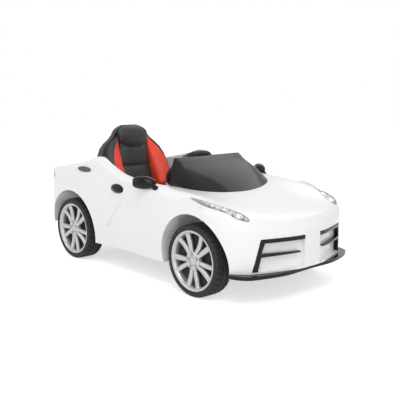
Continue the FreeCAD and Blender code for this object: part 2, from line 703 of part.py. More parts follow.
# Fuel cap lying on the outside of the right rear shoulder
points = []
for step in range(ROUND_STEPS):
    turn = 2 * math.pi * step / ROUND_STEPS
    points.append(Vector(
        S.cap_length / 2 * math.cos(turn) - S.cap_place, -S.body_half_width / 2,
        S.cap_width / 2 * math.sin(turn) + S.cap_height,
    ))
cap = prism(points, Vector(0, -S.body_half_width, 0), True)
cap = cap.common(moved(body_outer, 0, -S.fit - S.cap_rise, 0))
feature("fuel_cap", cap.cut(moved(body_outer, 0, -S.fit, 0)))

# Windscreen: one wrapped moulding with a thick top lip, standing on the cowl
SCREEN_ACROSS_SHARES = (0, 0.3, 0.6, 0.8, 0.89, 0.95, 1)
SCREEN_BACK_SHARES = (0, 0.04, 0.15, 0.28, 0.4, 0.68, 1)
# Heights of the sections between the foot and the neck
SCREEN_ROW_SHARES = (0, 0.25, 0.5, 0.75, 1)


def screen_wire(height, thick):
    """Level section of the windscreen."""
    down = (S.screen_top - height) / (S.screen_top - S.screen_base_height)
    front = S.screen_top_x + (S.screen_base - S.screen_top_x) * down
    half = S.screen_top_width + (S.screen_side_width - S.screen_top_width) * down
    swell = 4 * S.screen_swell * max(0, down * (1 - down))
    front += swell
    half += swell
    bulge = (S.screen_base - S.screen_side_base) * down
    edges = []
    ends = []
    for inset in (0, thick):
        points = []
        pairs = list(zip(SCREEN_ACROSS_SHARES, SCREEN_BACK_SHARES))
        for side, run in ((-1, pairs[::-1]), (1, pairs[1:])):
            for across, back in run:
                points.append(Vector(front - inset - back * bulge, side * across * (half - inset), height))
        spline = Part.BSplineCurve()
        spline.interpolate(points)
        edges.append(spline.toShape())
        ends.append((points[0], points[-1]))
    edges.append(Part.LineSegment(ends[0][0], ends[1][0]).toShape())
    edges.append(Part.LineSegment(ends[0][1], ends[1][1]).toShape())
    return Part.Wire(Part.sortEdges(edges)[0])


low = S.screen_base_height - S.screen_foot
neck = S.screen_top - S.screen_lip_height
wires = [screen_wire(low + share * (neck - low), S.screen_thick) for share in SCREEN_ROW_SHARES]
pane = Part.makeLoft(wires, True, False)
lip = Part.makeLoft([screen_wire(neck, S.screen_thick), screen_wire(S.screen_top, S.screen_lip)], True, True)
screen = pane.fuse(lip).removeSplitter().cut(moved(body_outer, 0, 0, S.fit))
feature("windscreen", max(screen.Solids, key=lambda piece: piece.Volume))

# Steering axis, used by the tub, the dashboard and the column
column_top = Vector(-S.wheel_x, 0, S.wheel_z)
tilt = Rotation(Vector(0, 1, 0), -S.column_tilt)
tilted = Placement(column_top, tilt)


def on_column(distance, across=0):
    """Point down the steering axis and below it."""
    return column_top.add(tilt.multVec(Vector(-across, 0, -distance)))


# Cockpit tub: liner of the opening, stepped over the steering gear and the rear axle
floor = S.tray_low + S.tray_thick


def tub_solid(inset, bottom, toe, seat):
    """Room inside the cockpit, drawn in by an inset."""
    shape = opening(inset, bottom, S.plan_top_height)
    wide = S.body_half_width
    lost = wells(S.wall + inset)
    lost.append(block(Vector(S.toe_step_x - inset, -wide, 0), Vector(S.nose_reach, wide, toe)))
    lost.append(block(Vector(-S.tail_reach, -wide, 0), Vector(inset - S.seat_step_x, wide, seat)))
    return shape.cut(lost)


tub = tub_solid(S.fit, floor, S.toe_step_height, S.seat_step_height).common(top_solid(-S.tub_sink))
inside = S.fit + S.tub_wall
room = tub_solid(
    inside, floor + S.tub_wall, S.toe_step_height + S.tub_wall, S.seat_step_height + S.tub_wall
)
column_way = rod(S.column_hole, on_column(S.bush_start), on_column(S.column_length))
feature("cockpit_tub", tub.cut([room, column_way]))

# Chassis tray between the wells, wide between the axles
strip = Part.Face(plan_wire(S.tray_low, S.wall + S.fit, S.sill_tuck, 0))
strip = strip.extrude(Vector(0, 0, S.tray_thick))
wide = block(
    Vector(-S.tray_side_rear, -S.body_half_width, S.tray_low),
    Vector(S.tray_side_front, S.body_half_width, floor),
)
spine = block(
    Vector(-S.tray_rear, -S.tray_half, S.tray_low), Vector(S.tray_front, S.tray_half, floor)
)
tray = strip.common(wide).fuse(spine).removeSplitter()

# Screws let into the tray from below, one node
screws = []
sinks = []
for side in (-1, 1):
    for step in (-1, 0, 1):
        screws.append(solid(
            "Cylinder", "screw_%d" % len(screws),
            (
                "0 - screw_pitch / 2 + %d * screw_pitch" % step if step >= 0 else "0 - 3 * screw_pitch / 2",
                "screw_row" if side > 0 else "0 - screw_row", "tray_low",
            ),
            Radius="screw_radius", Height="screw_head",
        ))
        spot = Vector((step - 0.5) * S.screw_pitch, side * S.screw_row, S.tray_low)
        sinks.append(rod(S.screw_radius + S.fit, spot, spot.add(Vector(0, 0, S.screw_head))))
feature("chassis_tray", tray.cut(sinks))
group = doc.addObject("Part::Compound", "body_screws")
group.Links = screws
node(group, "body_screws")

# Dashboard with its holes for the column, the switches and the socket
dash = opening(inside + S.fit, S.dash_low, S.plan_top_height).common(top_solid(-S.dash_gap))
dash = dash.common(block(
    Vector(S.dash_face, -S.body_half_width, S.dash_low),
    Vector(S.nose_reach, S.body_half_width, S.plan_top_height),
))
holes = [rod(S.bush_radius, on_column(0), on_column(S.column_length))]
face = S.dash_face - S.overrun
depth = S.dash_face + S.button_depth + S.button_travel
holes.append(rod(
    S.button_radius + S.fit, Vector(face, S.button_y, S.panel_height), Vector(depth, S.button_y, S.panel_height)
))
holes.append(rod(
    S.socket_radius, Vector(face, S.socket_y, S.panel_height),
    Vector(S.dash_face + S.socket_depth, S.socket_y, S.panel_height),
))
half = S.lever_width / 2 + S.fit
holes.append(block(
    Vector(face, -S.lever_y - half, S.panel_height - S.lever_slot),
    Vector(S.dash_face + S.lever_slot, half - S.lever_y, S.panel_height + S.lever_slot),
))
hollow = opening(inside + S.fit + S.dash_wall, S.dash_low - S.overrun, S.plan_top_height)
hollow = hollow.common(top_solid(-S.dash_gap - S.dash_wall))
hollow = hollow.common(block(
    Vector(S.dash_face + S.dash_panel, -S.body_half_width, S.dash_low - S.overrun),
    Vector(S.nose_reach, S.body_half_width, S.plan_top_height),
))
feature("dashboard", dash.cut(holes + [hollow] + wells(S.wall + inside + S.fit)))

# Charge socket: a ring in the dashboard
ring = solid(
    "Cylinder", "socket_ring", ("dash_face", "socket_y", "panel_height"), Rotation(Vector(0, 1, 0), 90),
    Radius="socket_radius", Height="socket_depth",
)
bore = solid(
    "Cylinder", "socket_hole", ("dash_face - overrun", "socket_y", "panel_height"),
    Rotation(Vector(0, 1, 0), 90), Radius="socket_bore", Height="socket_depth / 2 + overrun",
)
node(cut("charge_socket", ring, bore), "charge_socket")

# Power button
node(solid(
    "Cylinder", "power_button", ("dash_face - button_rise", "button_y", "panel_height"),
    Rotation(Vector(0, 1, 0), 90), Radius="button_radius", Height="button_rise + button_depth",
), "power_button")

# Direction lever: a barrel in the slot, a stick and a knob
barrel = solid(
    "Cylinder", "lever_barrel_item",
    ("dash_face + lever_barrel", "lever_width / 2 - lever_y", "panel_height"),
    Rotation(Vector(1, 0, 0), 90), Radius="lever_barrel", Height="lever_width",
)
stick = solid(
    "Cylinder", "lever_stick_item", ("dash_face - lever_length", "0 - lever_y", "panel_height"),
    Rotation(Vector(0, 1, 0), 90), Radius="lever_stick", Height="lever_length + lever_barrel",
)
knob = solid(
    "Sphere", "lever_knob_item", ("dash_face - lever_length", "0 - lever_y", "panel_height"),
    Rotation(Vector(0, 0, 1), 180), Radius="lever_knob",
)
node(fuse("direction_lever", [barrel, stick, knob]), "direction_lever")

# Steering wheel in its own frame, then tilted into place
ring = solid("Torus", "wheel_ring_item", Radius1="wheel_ring", Radius2="wheel_tube")
hub = solid(
    "Cylinder", "wheel_hub_item", ("0", "0", "0 - hub_sink - hub_thick"), Radius="hub_radius",
    Height="hub_thick",
)
bars = [ring, hub]
for name, turn in (("left", 90), ("right", -90), ("low", 180)):
    bar = solid(
        "Box", "wheel_bar_" + name, ("0", "0", "0 - hub_sink - spoke_thick"), None,
        Length="wheel_ring", Width="spoke_width", Height="spoke_thick",
    )
    spin = Rotation(Vector(0, 0, 1), turn)
    side_step = spin.multVec(Vector(0, -S.spoke_width / 2, 0))
    bar.Placement = Placement(Vector(side_step.x, side_step.y, -S.hub_sink - S.spoke_thick), spin)
    bars.append(bar)
rim = fuse("wheel_frame", bars)
pads = []
for label, side in SIDES:
    pads.append(solid(
        "Cylinder", "horn_hole_" + label,
        ("0", "horn_place" if side > 0 else "0 - horn_place", "0 - hub_sink - horn_depth"),
        Radius="horn_radius + fit", Height="horn_depth + overrun",
    ))
rim = cut("steering_wheel", rim, fuse("horn_holes", pads))
node(rim, "steering_wheel")
rim.Placement = tilted
pad = node(solid(
    "Cone", "horn_pad", ("0", "0", "0 - hub_sink"), Radius1="pad_radius", Radius2="pad_radius - pad_rise / 2",
    Height="pad_rise",
), "horn_pad")
doc.recompute()
pad.setExpression("Placement.Base.z", None)
pad.Placement = Placement(column_top.add(tilt.multVec(Vector(0, 0, -S.hub_sink))), tilt)
for label, side in SIDES:
    horn = node(solid(
        "Cylinder", "horn_button_" + label, Radius="horn_radius", Height="horn_depth - horn_travel + horn_rise",
    ), "horn_button_" + label)
    spot = Vector(0, side * S.horn_place, -S.hub_sink - S.horn_depth + S.horn_travel)
    horn.Placement = Placement(column_top.add(tilt.multVec(spot)), tilt)

# Column with the crank and pin at its lower end
shaft = solid(
    "Cylinder", "column_shaft", ("0", "0", "0 - column_length - crank_thick / 2"), Radius="column_radius",
    Height="column_length + crank_thick / 2 - hub_sink - hub_thick",
)
crank = solid(
    "Box", "column_crank",
    ("0 - crank_reach - crank_width / 2", "0 - crank_width / 2", "0 - column_length - crank_thick / 2"), None,
    Length="crank_reach + crank_width", Width="crank_width", Height="crank_thick",
)
pin = solid(
    "Cylinder", "column_pin",
    ("0 - crank_reach", "0", "0 - column_length - crank_thick / 2 - crank_pin_length"), Radius="crank_pin",
    Height="crank_pin_length",
)
column = node(fuse("steering_column", [shaft, crank, pin]), "steering_column")
column.Placement = tilted
sleeve = solid(
    "Cylinder", "bush_body", ("0", "0", "0 - bush_start - bush_length"), Radius="bush_radius",
    Height="bush_length",
)
bore = solid(
    "Cylinder", "bush_bore", ("0", "0", "0 - bush_start - bush_length - overrun"),
    Radius="column_radius + running_fit", Height="bush_length + 2 * overrun",
)
bush = node(cut("column_bush", sleeve, bore), "column_bush")
bush.Placement = tilted

# Lower column bearing: a bridge on two legs
bridge = box(
    "bridge_top", ("bridge_rear", "bridge_front"), ("0 - bridge_half", "bridge_half"),
    ("bridge_low", "bridge_high"),
)
legs = [bridge]
for label, side in SIDES:
    y = ("bridge_half - leg_thick", "bridge_half") if side > 0 else ("0 - bridge_half", "leg_thick - bridge_half")
    legs.append(box(
        "bridge_leg_" + label, ("bridge_rear", "bridge_front"), y, ("tray_low + tray_thick", "bridge_high")
    ))
bore = solid(
    "Cylinder", "bridge_bore", Radius="column_radius + running_fit", Height="column_length",
)
bore.Placement = Placement(on_column(S.column_length), tilt)
node(cut("steering_bracket", fuse("bridge_frame", legs), bore), "steering_bracket")

# Front axle beam with a clevis and a kingpin at each end
FRONT_X = "nose_reach - front_overhang"
REAR_X = "nose_reach - front_overhang - wheelbase"
BARREL_LOW = "axle_height - barrel_height / 2"
BARREL_HIGH = "axle_height + barrel_height / 2"
beam_x = (FRONT_X + " - beam_half", FRONT_X + " + beam_half")
pieces = [box("beam_middle", beam_x, ("0 - clevis_web", "clevis_web"), ("tray_low + tray_thick", "beam_top"))]
for label, side in SIDES:
    y = ("beam_reach", "clevis_end") if side > 0 else ("0 - clevis_end", "0 - beam_reach")
    pieces.append(box(
        "clevis_top_" + label, beam_x, y,
        (BARREL_HIGH + " + clevis_play", BARREL_HIGH + " + clevis_play + clevis_thick"),
    ))
    pieces.append(box(
        "clevis_low_" + label, beam_x, y,
        (BARREL_LOW + " - clevis_play - clevis_thick", BARREL_LOW + " - clevis_play"),
    ))
    pieces.append(solid(
        "Cylinder", "kingpin_" + label,
        (FRONT_X, "kingpin_y" if side > 0 else "0 - kingpin_y", BARREL_LOW + " - clevis_play - clevis_thick"),
        Radius="kingpin_radius", Height="barrel_height + 2 * clevis_play + 2 * clevis_thick",
    ))
node(fuse("front_axle_beam", pieces), "front_axle_beam")

# Knuckles: a barrel on the kingpin, a stub axle with a collar, a steering arm with a pin
for label, side in SIDES:
    sign = "" if side > 0 else "0 - "
    outward = Rotation(Vector(1, 0, 0), -90 * side)
    y = "kingpin_y" if side > 0 else "0 - kingpin_y"
    barrel = solid(
        "Cylinder", "barrel_" + label, (FRONT_X, y, BARREL_LOW), Radius="barrel_radius", Height="barrel_height",
    )
    stub = solid(
        "Cylinder", "stub_" + label, (FRONT_X, y, "axle_height"), outward, Radius="axle_radius",
        Height="track_face - tyre_width + cap_seat + fit + nut_width - kingpin_y",
    )
    inner = "track_face - tyre_width - wheel_gap - collar_width"
    if side < 0:
        inner = "0 - track_face + tyre_width + wheel_gap + collar_width"
    collar = solid(
        "Cylinder", "collar_" + label, (FRONT_X, inner, "axle_height"), outward, Radius="collar_radius",
        Height="collar_width",
    )
    arm = box(
        "arm_" + label, (FRONT_X + " - arm_length - arm_width / 2", FRONT_X),
        (y + " - arm_width / 2", y + " + arm_width / 2"), ("arm_low", "arm_low + arm_thick"),
    )
    pin = solid(
        "Cylinder", "arm_pin_" + label, (FRONT_X + " - arm_length", y, "arm_low"), Radius="arm_pin",
        Height="arm_pin_length + arm_thick",
    )
    bore = solid(
        "Cylinder", "barrel_bore_" + label, (FRONT_X, y, BARREL_LOW + " - overrun"),
        Radius="kingpin_radius + running_fit", Height="barrel_height + 2 * overrun",
    )
    node(cut("knuckle_" + label, fuse("knuckle_frame_" + label, [barrel, stub, collar, arm, pin]), bore),
         "knuckle_" + label)

# Tie rod: a bar with a slotted eye at each end and a fork round the crank pin
bar_x = front_x - S.arm_length
high = S.rod_low + S.rod_thick
rod_parts = [block(
    Vector(bar_x - S.rod_width / 2, -S.kingpin_y, S.rod_low), Vector(bar_x + S.rod_width / 2, S.kingpin_y, high)
)]
slots = []
for side in (-1, 1):
    eye_x = S.eye_half + S.eye_slot
    rod_parts.append(block(
        Vector(bar_x - eye_x, side * S.kingpin_y - S.eye_half, S.rod_low),
        Vector(bar_x + eye_x, side * S.kingpin_y + S.eye_half, high),
    ))
    slot = S.arm_pin + S.eye_play
    slots.append(block(
        Vector(bar_x - slot - S.eye_slot, side * S.kingpin_y - slot, S.rod_low),
        Vector(bar_x + slot + S.eye_slot, side * S.kingpin_y + slot, high),
    ))
    start = side * (S.crank_pin + S.fork_gap)
    near = on_column(S.fork_start, S.fork_near)
    far = on_column(S.fork_start, S.fork_far)
    end_far = on_column(S.fork_end, S.fork_far)
    end_near = on_column(S.fork_end, S.fork_near)
    back = bar_x - S.rod_width / 2
    places = [near, far, end_far, Vector(back, 0, S.rod_low), Vector(back, 0, high), end_near]
    places = [Vector(p.x, start, p.z) for p in places]
    rod_parts.append(prism(places, Vector(0, side * S.fork_thick, 0)))
bar = rod_parts[0].fuse(rod_parts[1:]).cut(slots).removeSplitter()
feature("tie_rod", bar)

# Wheels: a moulded tyre with web and hub, turned about its own X axis with the inner face at zero
tyre = part_body("tyre_front_left")
profile = outline(tyre, "XY_Plane", "tyre_profile", (
    ("0", "axle_radius + running_fit"), ("cap_seat", "axle_radius + running_fit"), ("cap_seat", "rim_radius + fit"),
    ("tyre_width", "rim_radius + fit"), ("tyre_width", "tyre_radius - tyre_shoulder"),
    ("tyre_width - tyre_shoulder / 3", "tyre_radius - tyre_shoulder / 3"),
    ("tyre_width - tyre_shoulder", "tyre_radius"), ("tyre_shoulder", "tyre_radius"),
    ("tyre_shoulder / 3", "tyre_radius - tyre_shoulder / 3"), ("0", "tyre_radius - tyre_shoulder"),
    ("0", "rim_radius - web_thick"), ("cap_seat - web_thick", "rim_radius - web_thick"),
    ("cap_seat - web_thick", "wheel_hub"), ("0", "wheel_hub"),
))
turned(tyre, profile, "tyre_turn")
for end, edge in (("outer", "tyre_width"), ("inner", "0")):
    far = edge + (" + tread_gap" if end == "outer" else " - tread_gap")
    near = edge + (" - tread_reach" if end == "outer" else " + tread_reach")
    groove = outline(tyre, "XY_Plane", "tread_" + end, (
        (near, "tyre_radius - tread_depth"), (far, "tyre_radius - tread_depth"),
        (far, "tyre_radius + tread_gap"), (near, "tyre_radius + tread_gap"),
    ))
    polar(tyre, pocket(tyre, groove, "tread_cut_" + end, "tread_gap"), "tread_ring_" + end, "tread_count")

# Hubcap: dished face with a wide lip, five pairs of spokes, a plain centre and five lug nuts
hubcap = part_body("hubcap_front_left")
profile = outline(hubcap, "XY_Plane", "cap_profile", (
    ("cap_seat + nut_width + nut_width", "0"), ("cap_seat + nut_width + nut_width", "cap_nut_room"),
    ("cap_seat", "cap_nut_room"), ("cap_seat", "rim_radius"), ("cap_seat + cap_lip_rise", "rim_radius"),
    ("cap_seat + cap_lip_rise", "rim_radius - cap_lip / 2"), ("cap_seat + cap_dish", "rim_radius - cap_lip"),
    ("cap_seat + cap_face", "cap_hub + cap_lip"), ("cap_seat + cap_hub_rise - lug_rise", "cap_hub"),
    ("cap_seat + cap_hub_rise", "cap_hub - lug_rise"), ("cap_seat + cap_hub_rise", "0"),
))
turned(hubcap, profile, "cap_turn")
# Window corners: share of the way from hub to lip, and degrees from the middle of a spoke pair
WIDE_SHARES = ((0.12, 28), (0.5, 22.5), (0.96, 20), (1, 26), (1, 46), (0.96, 54), (0.5, 52), (0.12, 45))
SLOT_SHARES = ((0.3, -2), (0.97, -9), (0.97, 8), (0.3, 2))
SWEEP_SHARE = 9
for name, table in (("wide", WIDE_SHARES), ("slot", SLOT_SHARES)):
    places = []
    for share, degrees in table:
        radius = S.cap_hub + share * (S.rim_radius - S.cap_lip - S.cap_hub)
        angle = math.radians(degrees + SWEEP_SHARE * share)
        places.append(Vector(radius * math.cos(angle), radius * math.sin(angle), 0))
    window = sketch(hubcap, "YZ_Plane", "window_" + name, places)
    polar(
        hubcap, pocket(hubcap, window, "window_cut_" + name, "2 * tyre_width + overrun"), "window_ring_" + name,
        "spoke_pairs",
    )
lug = hubcap.newObject("PartDesign::AdditiveCylinder", "lug_nut")
bind(lug, "Radius", "lug_radius")
bind(lug, "Height", "cap_hub_rise")
lug.Placement = Placement(Vector(S.cap_seat + S.lug_rise, S.lug_ring, 0), Rotation(Vector(0, 1, 0), 90))
doc.recompute()
polar(hubcap, lug, "lug_ring_pattern", "spoke_pairs")

# The other wheels are copies of these two
WHEELS = (("front_left", front_x, 1), ("front_right", front_x, -1), ("rear_left", rear_x, 1),
          ("rear_right", rear_x, -1))
for label, x, side in WHEELS:
    spot = Placement(
        Vector(x, side * (S.track_face - S.tyre_width), S.axle_height), Rotation(Vector(0, 0, 1), 90 * side)
    )
    for kind, master in (("tyre_", tyre), ("hubcap_", hubcap)):
        if label == "front_left":
            continue
        copy = feature(kind + label, master.Shape.copy())
        copy.Placement = spot
for master in (tyre, hubcap):
    master.Placement = Placement(
        Vector(front_x, S.track_face - S.tyre_width, S.axle_height), Rotation(Vector(0, 0, 1), 90)
    )

# Nuts on the axle ends
nuts = {}
for label, x, side in WHEELS:
    outward = Rotation(Vector(1, 0, 0), -90 * side)
    start = "track_face - tyre_width + cap_seat + fit"
    if side < 0:
        start = "0 - track_face + tyre_width - cap_seat - fit"
    place = (FRONT_X if label.startswith("front") else REAR_X, start, "axle_height")
    blank = solid("Cylinder", "nut_blank_" + label, place, outward, Radius="nut_radius", Height="nut_width")
    hole = solid("Cylinder", "nut_hole_" + label, place, outward, Radius="axle_radius", Height="nut_width")
    nuts[label] = cut("axle_nut_" + label, blank, hole)
node(nuts["front_left"], "axle_nut_front_left")
node(nuts["front_right"], "axle_nut_front_right")
pair = doc.addObject("Part::Compound", "axle_nuts_rear")
pair.Links = [nuts["rear_left"], nuts["rear_right"]]
node(pair, "axle_nuts_rear")

# Rear axle with a collar on the left, held in two brackets
AXLE_END = "track_face - tyre_width + cap_seat + fit + nut_width"
axle = solid(
    "Cylinder", "axle_bar", (REAR_X, "0 - " + AXLE_END.replace(" + ", " - ").replace("- tyre", "+ tyre"),
    "axle_height"), Rotation(Vector(1, 0, 0), -90), Radius="axle_radius",
    Height="2 * track_face - 2 * tyre_width + 2 * cap_seat + 2 * fit + 2 * nut_width",
)
collar = solid(
    "Cylinder", "axle_collar", (REAR_X, "track_face - tyre_width - wheel_gap - collar_width", "axle_height"),
    Rotation(Vector(1, 0, 0), -90), Radius="collar_radius", Height="collar_width",
)
node(fuse("rear_axle", [axle, collar]), "rear_axle")
posts = []
for label, side in SIDES:
    y = ("bracket_y", "bracket_y + bracket_thick")
    if side < 0:
        y = ("0 - bracket_y - bracket_thick", "0 - bracket_y")
    posts.append(box(
        "bracket_" + label, (REAR_X + " - bracket_half", REAR_X + " + bracket_half"), y,
        ("tray_low + tray_thick", "bracket_top"),
    ))
bore = solid(
    "Cylinder", "bracket_bore", (REAR_X, "0 - body_half_width", "axle_height"), Rotation(Vector(1, 0, 0), -90),
    Radius="axle_radius", Height="2 * body_half_width",
)
both = doc.addObject("Part::Compound", "bracket_pair")
both.Links = posts
node(cut("rear_axle_brackets", both, bore), "rear_axle_brackets")

# Drive: a sleeve that turns the right rear wheel, a gearbox round the axle and a motor
sleeve = solid(
    "Cylinder", "sleeve_body", (REAR_X, "0 - track_face + tyre_width", "axle_height"),
    Rotation(Vector(1, 0, 0), -90), Radius="sleeve_radius", Height="track_face - tyre_width - sleeve_start",
)
bore = solid(
    "Cylinder", "sleeve_bore", (REAR_X, "0 - body_half_width", "axle_height"), Rotation(Vector(1, 0, 0), -90),
    Radius="axle_radius + running_fit", Height="2 * body_half_width",
)
node(cut("drive_sleeve", sleeve, bore), "drive_sleeve")
case = box(
    "gearbox_box", (REAR_X + " - gearbox_back", REAR_X + " - gearbox_back + gearbox_length"),
    ("0 - gearbox_y - gearbox_width", "0 - gearbox_y"),
    ("tray_low + tray_thick", "tray_low + tray_thick + gearbox_height"),
)
bore = solid(
    "Cylinder", "gearbox_bore", (REAR_X, "0 - body_half_width", "axle_height"), Rotation(Vector(1, 0, 0), -90),
    Radius="axle_radius", Height="2 * body_half_width",
)
node(cut("gearbox_case", case, bore), "gearbox_case")
node(solid(
    "Cylinder", "motor", ("0 - motor_x", "0 - gearbox_y", "axle_height + motor_radius"),
    Rotation(Vector(1, 0, 0), -90), Radius="motor_radius", Height="motor_length",
), "motor")

# Battery under the seat
SEAT_FLOOR = "tray_low + tray_thick + tub_wall"
node(box(
    "battery", ("0 - battery_rear", "battery_length - battery_rear"), ("0 - battery_width / 2", "battery_width / 2"),
    (SEAT_FLOOR, SEAT_FLOOR + " + battery_height"),
), "battery")

# Accelerator pedal on its base
base = box(
    "pedal_plate", ("pedal_x - pedal_barrel - pedal_pin", "pedal_x + pedal_base_length"),
    ("0 - pedal_y - pedal_width / 2 - pedal_cheek", "0 - pedal_y + pedal_width / 2 + pedal_cheek"),
    (SEAT_FLOOR, SEAT_FLOOR + " + pedal_base_height"),
)
items = [base]
for label, side in SIDES:
    y = ("0 - pedal_y + pedal_width / 2 + fit", "0 - pedal_y + pedal_width / 2 + pedal_cheek")
    if side < 0:
        y = ("0 - pedal_y - pedal_width / 2 - pedal_cheek", "0 - pedal_y - pedal_width / 2 - fit")
    items.append(box(
        "pedal_cheek_" + label, ("pedal_x - pedal_barrel", "pedal_x + pedal_barrel"), y,
        (SEAT_FLOOR, SEAT_FLOOR + " + pedal_pivot + pedal_barrel"),
    ))
items.append(solid(
    "Cylinder", "pedal_axle", ("pedal_x", "0 - pedal_y - pedal_width / 2 - pedal_cheek", SEAT_FLOOR + " + pedal_pivot"),
    Rotation(Vector(1, 0, 0), -90), Radius="pedal_pin", Height="pedal_width + 2 * pedal_cheek",
))
node(fuse("pedal_base", items), "pedal_base")
barrel = solid(
    "Cylinder", "pedal_barrel_item", ("0", "0 - pedal_width / 2", "0"), Rotation(Vector(1, 0, 0), -90),
    Radius="pedal_barrel", Height="pedal_width",
)
plate = solid(
    "Box", "pedal_plate_item", ("0", "0 - pedal_width / 2", "pedal_barrel - pedal_thick"), None,
    Length="pedal_length", Width="pedal_width", Height="pedal_thick",
)
bore = solid(
    "Cylinder", "pedal_bore", ("0", "0 - pedal_width", "0"), Rotation(Vector(1, 0, 0), -90),
    Radius="pedal_pin + running_fit", Height="2 * pedal_width",
)
pedal = node(cut("accelerator_pedal", fuse("pedal_frame", [barrel, plate]), bore), "accelerator_pedal")
pedal.Placement = Placement(
    Vector(S.pedal_x, -S.pedal_y, floor + S.tub_wall + S.pedal_pivot),
    Rotation(Vector(0, 1, 0), -S.pedal_slope),
)

# Seat: a hard shell, a back pad with its headrest, two bolsters and a base pad
# Half outline of the back seen from the front, as shares of its half width and of its height
BACK_SHARES = ((0.74, 0), (0.76, 0.2), (0.775, 0.28), (0.95, 0.38), (1, 0.5), (0.96, 0.64), (0.84, 0.735),
               (0.65, 0.81), (0.55, 0.85), (0.52, 0.885), (0.475, 0.92), (0.4, 0.952), (0.28, 0.98), (0.14, 0.997),
               (0, 1))
# Lean of the back's rear face, as shares of the height, then of the tail reach
LEAN_SHARES = ((0, 0.598), (0.3, 0.65), (0.5, 0.677), (0.7, 0.689), (1, 0.692))


def back_width(share):
    """Half width of the seat back at a share of its height."""
    return S.seat_back_half * curve([(v, u) for u, v in BACK_SHARES], share)


def lean(share):
    """Rear face of the seat back at a share of its height."""
    return -S.tail_reach * curve(LEAN_SHARES, share)


def back_section(share, inner, outer, start, depth, crown):
    """Level section of a piece of the seat back: flat behind, crowned in front."""
    z = S.seat_step_height + S.tub_wall + share * (S.seat_top - S.seat_step_height - S.tub_wall)
    x = lean(share) + start
    corners = [Vector(x, inner, z), Vector(x, outer, z), Vector(x + depth, outer, z), Vector(x + depth, inner, z)]
    peak = Vector(x + depth + crown, (inner + outer) / 2, z)
    edges = [Part.LineSegment(corners[i], corners[i + 1]).toShape() for i in range(2)]
    edges.append(Part.Arc(corners[2], peak, corners[3]).toShape())
    edges.append(Part.LineSegment(corners[3], corners[0]).toShape())
    return Part.Wire(edges)


def back_piece(table):
    """Loft through sections of the seat back."""
    return Part.makeLoft([back_section(*row) for row in table], True, True)


# Heights of the sections of the back, and how far its side wings come forward at each
PLATE_SHARES = (
    (0, 0.5), (0.1, 0.8), (0.25, 1), (0.4, 1), (0.52, 0.95), (0.62, 0.8), (0.7, 0.6), (0.76, 0.42), (0.82, 0.35),
    (0.87, 0.35), (0.9, 0.33), (0.93, 0.3), (0.955, 0.25), (0.975, 0.2), (0.99, 0.1),
)
WING_SHARE = 0.9


def wing_edge(share):
    """Inner edge of a side wing, straight between the sections of the back."""
    marks = [row[0] for row in PLATE_SHARES]
    for low, high in zip(marks, marks[1:]):
        if share <= high:
            break
    part = (share - low) / (high - low)
    return WING_SHARE * ((1 - part) * back_width(low) + part * back_width(high))


plate = []
wings = {1: [], -1: []}
for share, swell_share in PLATE_SHARES:
    half = back_width(share)
    plate.append((share, -half, half, 0, S.seat_plate, S.fit))
    for side in wings:
        wings[side].append((
            share, side * WING_SHARE * half, side * half, 0, S.seat_plate + swell_share * S.wing_rise, S.pad_gap,
        ))
bucket = back_piece(plate).fuse([back_piece(rows) for rows in wings.values()])
corner = Vector(-S.seat_rear, -S.seat_half, floor + S.tub_wall)
high = Vector(-S.seat_front, S.seat_half, S.seat_high)
thick = Vector(S.seat_wall, S.seat_wall, 0)
box_shape = block(corner, high).cut(block(corner.add(thick), high.sub(Vector(S.seat_wall, S.seat_wall, S.seat_wall))))
flange = block(
    Vector(lean(0), -S.seat_half, S.seat_step_height + S.tub_wall),
    Vector(S.seat_wall - S.seat_rear, S.seat_half, S.seat_high),
)
feature("seat_shell", bucket.fuse([box_shape, flange]).removeSplitter())
front = S.seat_plate + S.pad_gap
depth = S.bolster_rise + S.seat_crown
PAD_SHARES = (
    (0.06, 0.55), (0.1, 0.84), (0.15, 0.95), (0.25, 1), (0.4, 1), (0.45, 0.96), (0.465, 0.92), (0.475, 0.84),
    (0.485, 0.92), (0.52, 0.98), (0.62, 1), (0.69, 0.97), (0.7, 0.92), (0.712, 0.84), (0.725, 0.93), (0.76, 1.02),
    (0.82, 1.13), (0.87, 1.17), (0.9, 1.14), (0.93, 1.04), (0.955, 0.9), (0.975, 0.62), (0.985, 0.45),
)
# Height where the middle panel starts to narrow, and how fast it does
TAPER_SHARES = (0.25, 0.225)


def panel_half(share):
    """Half width of the black middle panel at a share of the back's height."""
    return S.pad_half * (1 - TAPER_SHARES[1] * max(0, share - TAPER_SHARES[0]))


rows = []
for share, swell_share in PAD_SHARES:
    half = min(wing_edge(share) - S.pad_gap, panel_half(share))
    rows.append((share, -half, half, front, swell_share * depth, swell_share * S.seat_crown))
feature("seat_back_pad", back_piece(rows))
BOLSTER_SHARES = (
    (0.06, 0.5), (0.1, 0.8), (0.15, 0.93), (0.25, 1.42), (0.4, 1.42), (0.52, 1.22), (0.62, 0.98), (0.7, 0.76),
    (0.76, 0.58), (0.82, 0.4), (0.85, 0.26),
)
for label, side in SIDES:
    rows = []
    for share, swell_share in BOLSTER_SHARES:
        inner = panel_half(share) + S.pad_gap
        outer = wing_edge(share) - S.pad_gap
        rise = swell_share * (depth + S.bolster_rise)
        rows.append((share, side * inner, side * outer, front, rise, swell_share * S.bolster_crown))
    feature("seat_bolster_" + label, back_piece(rows))

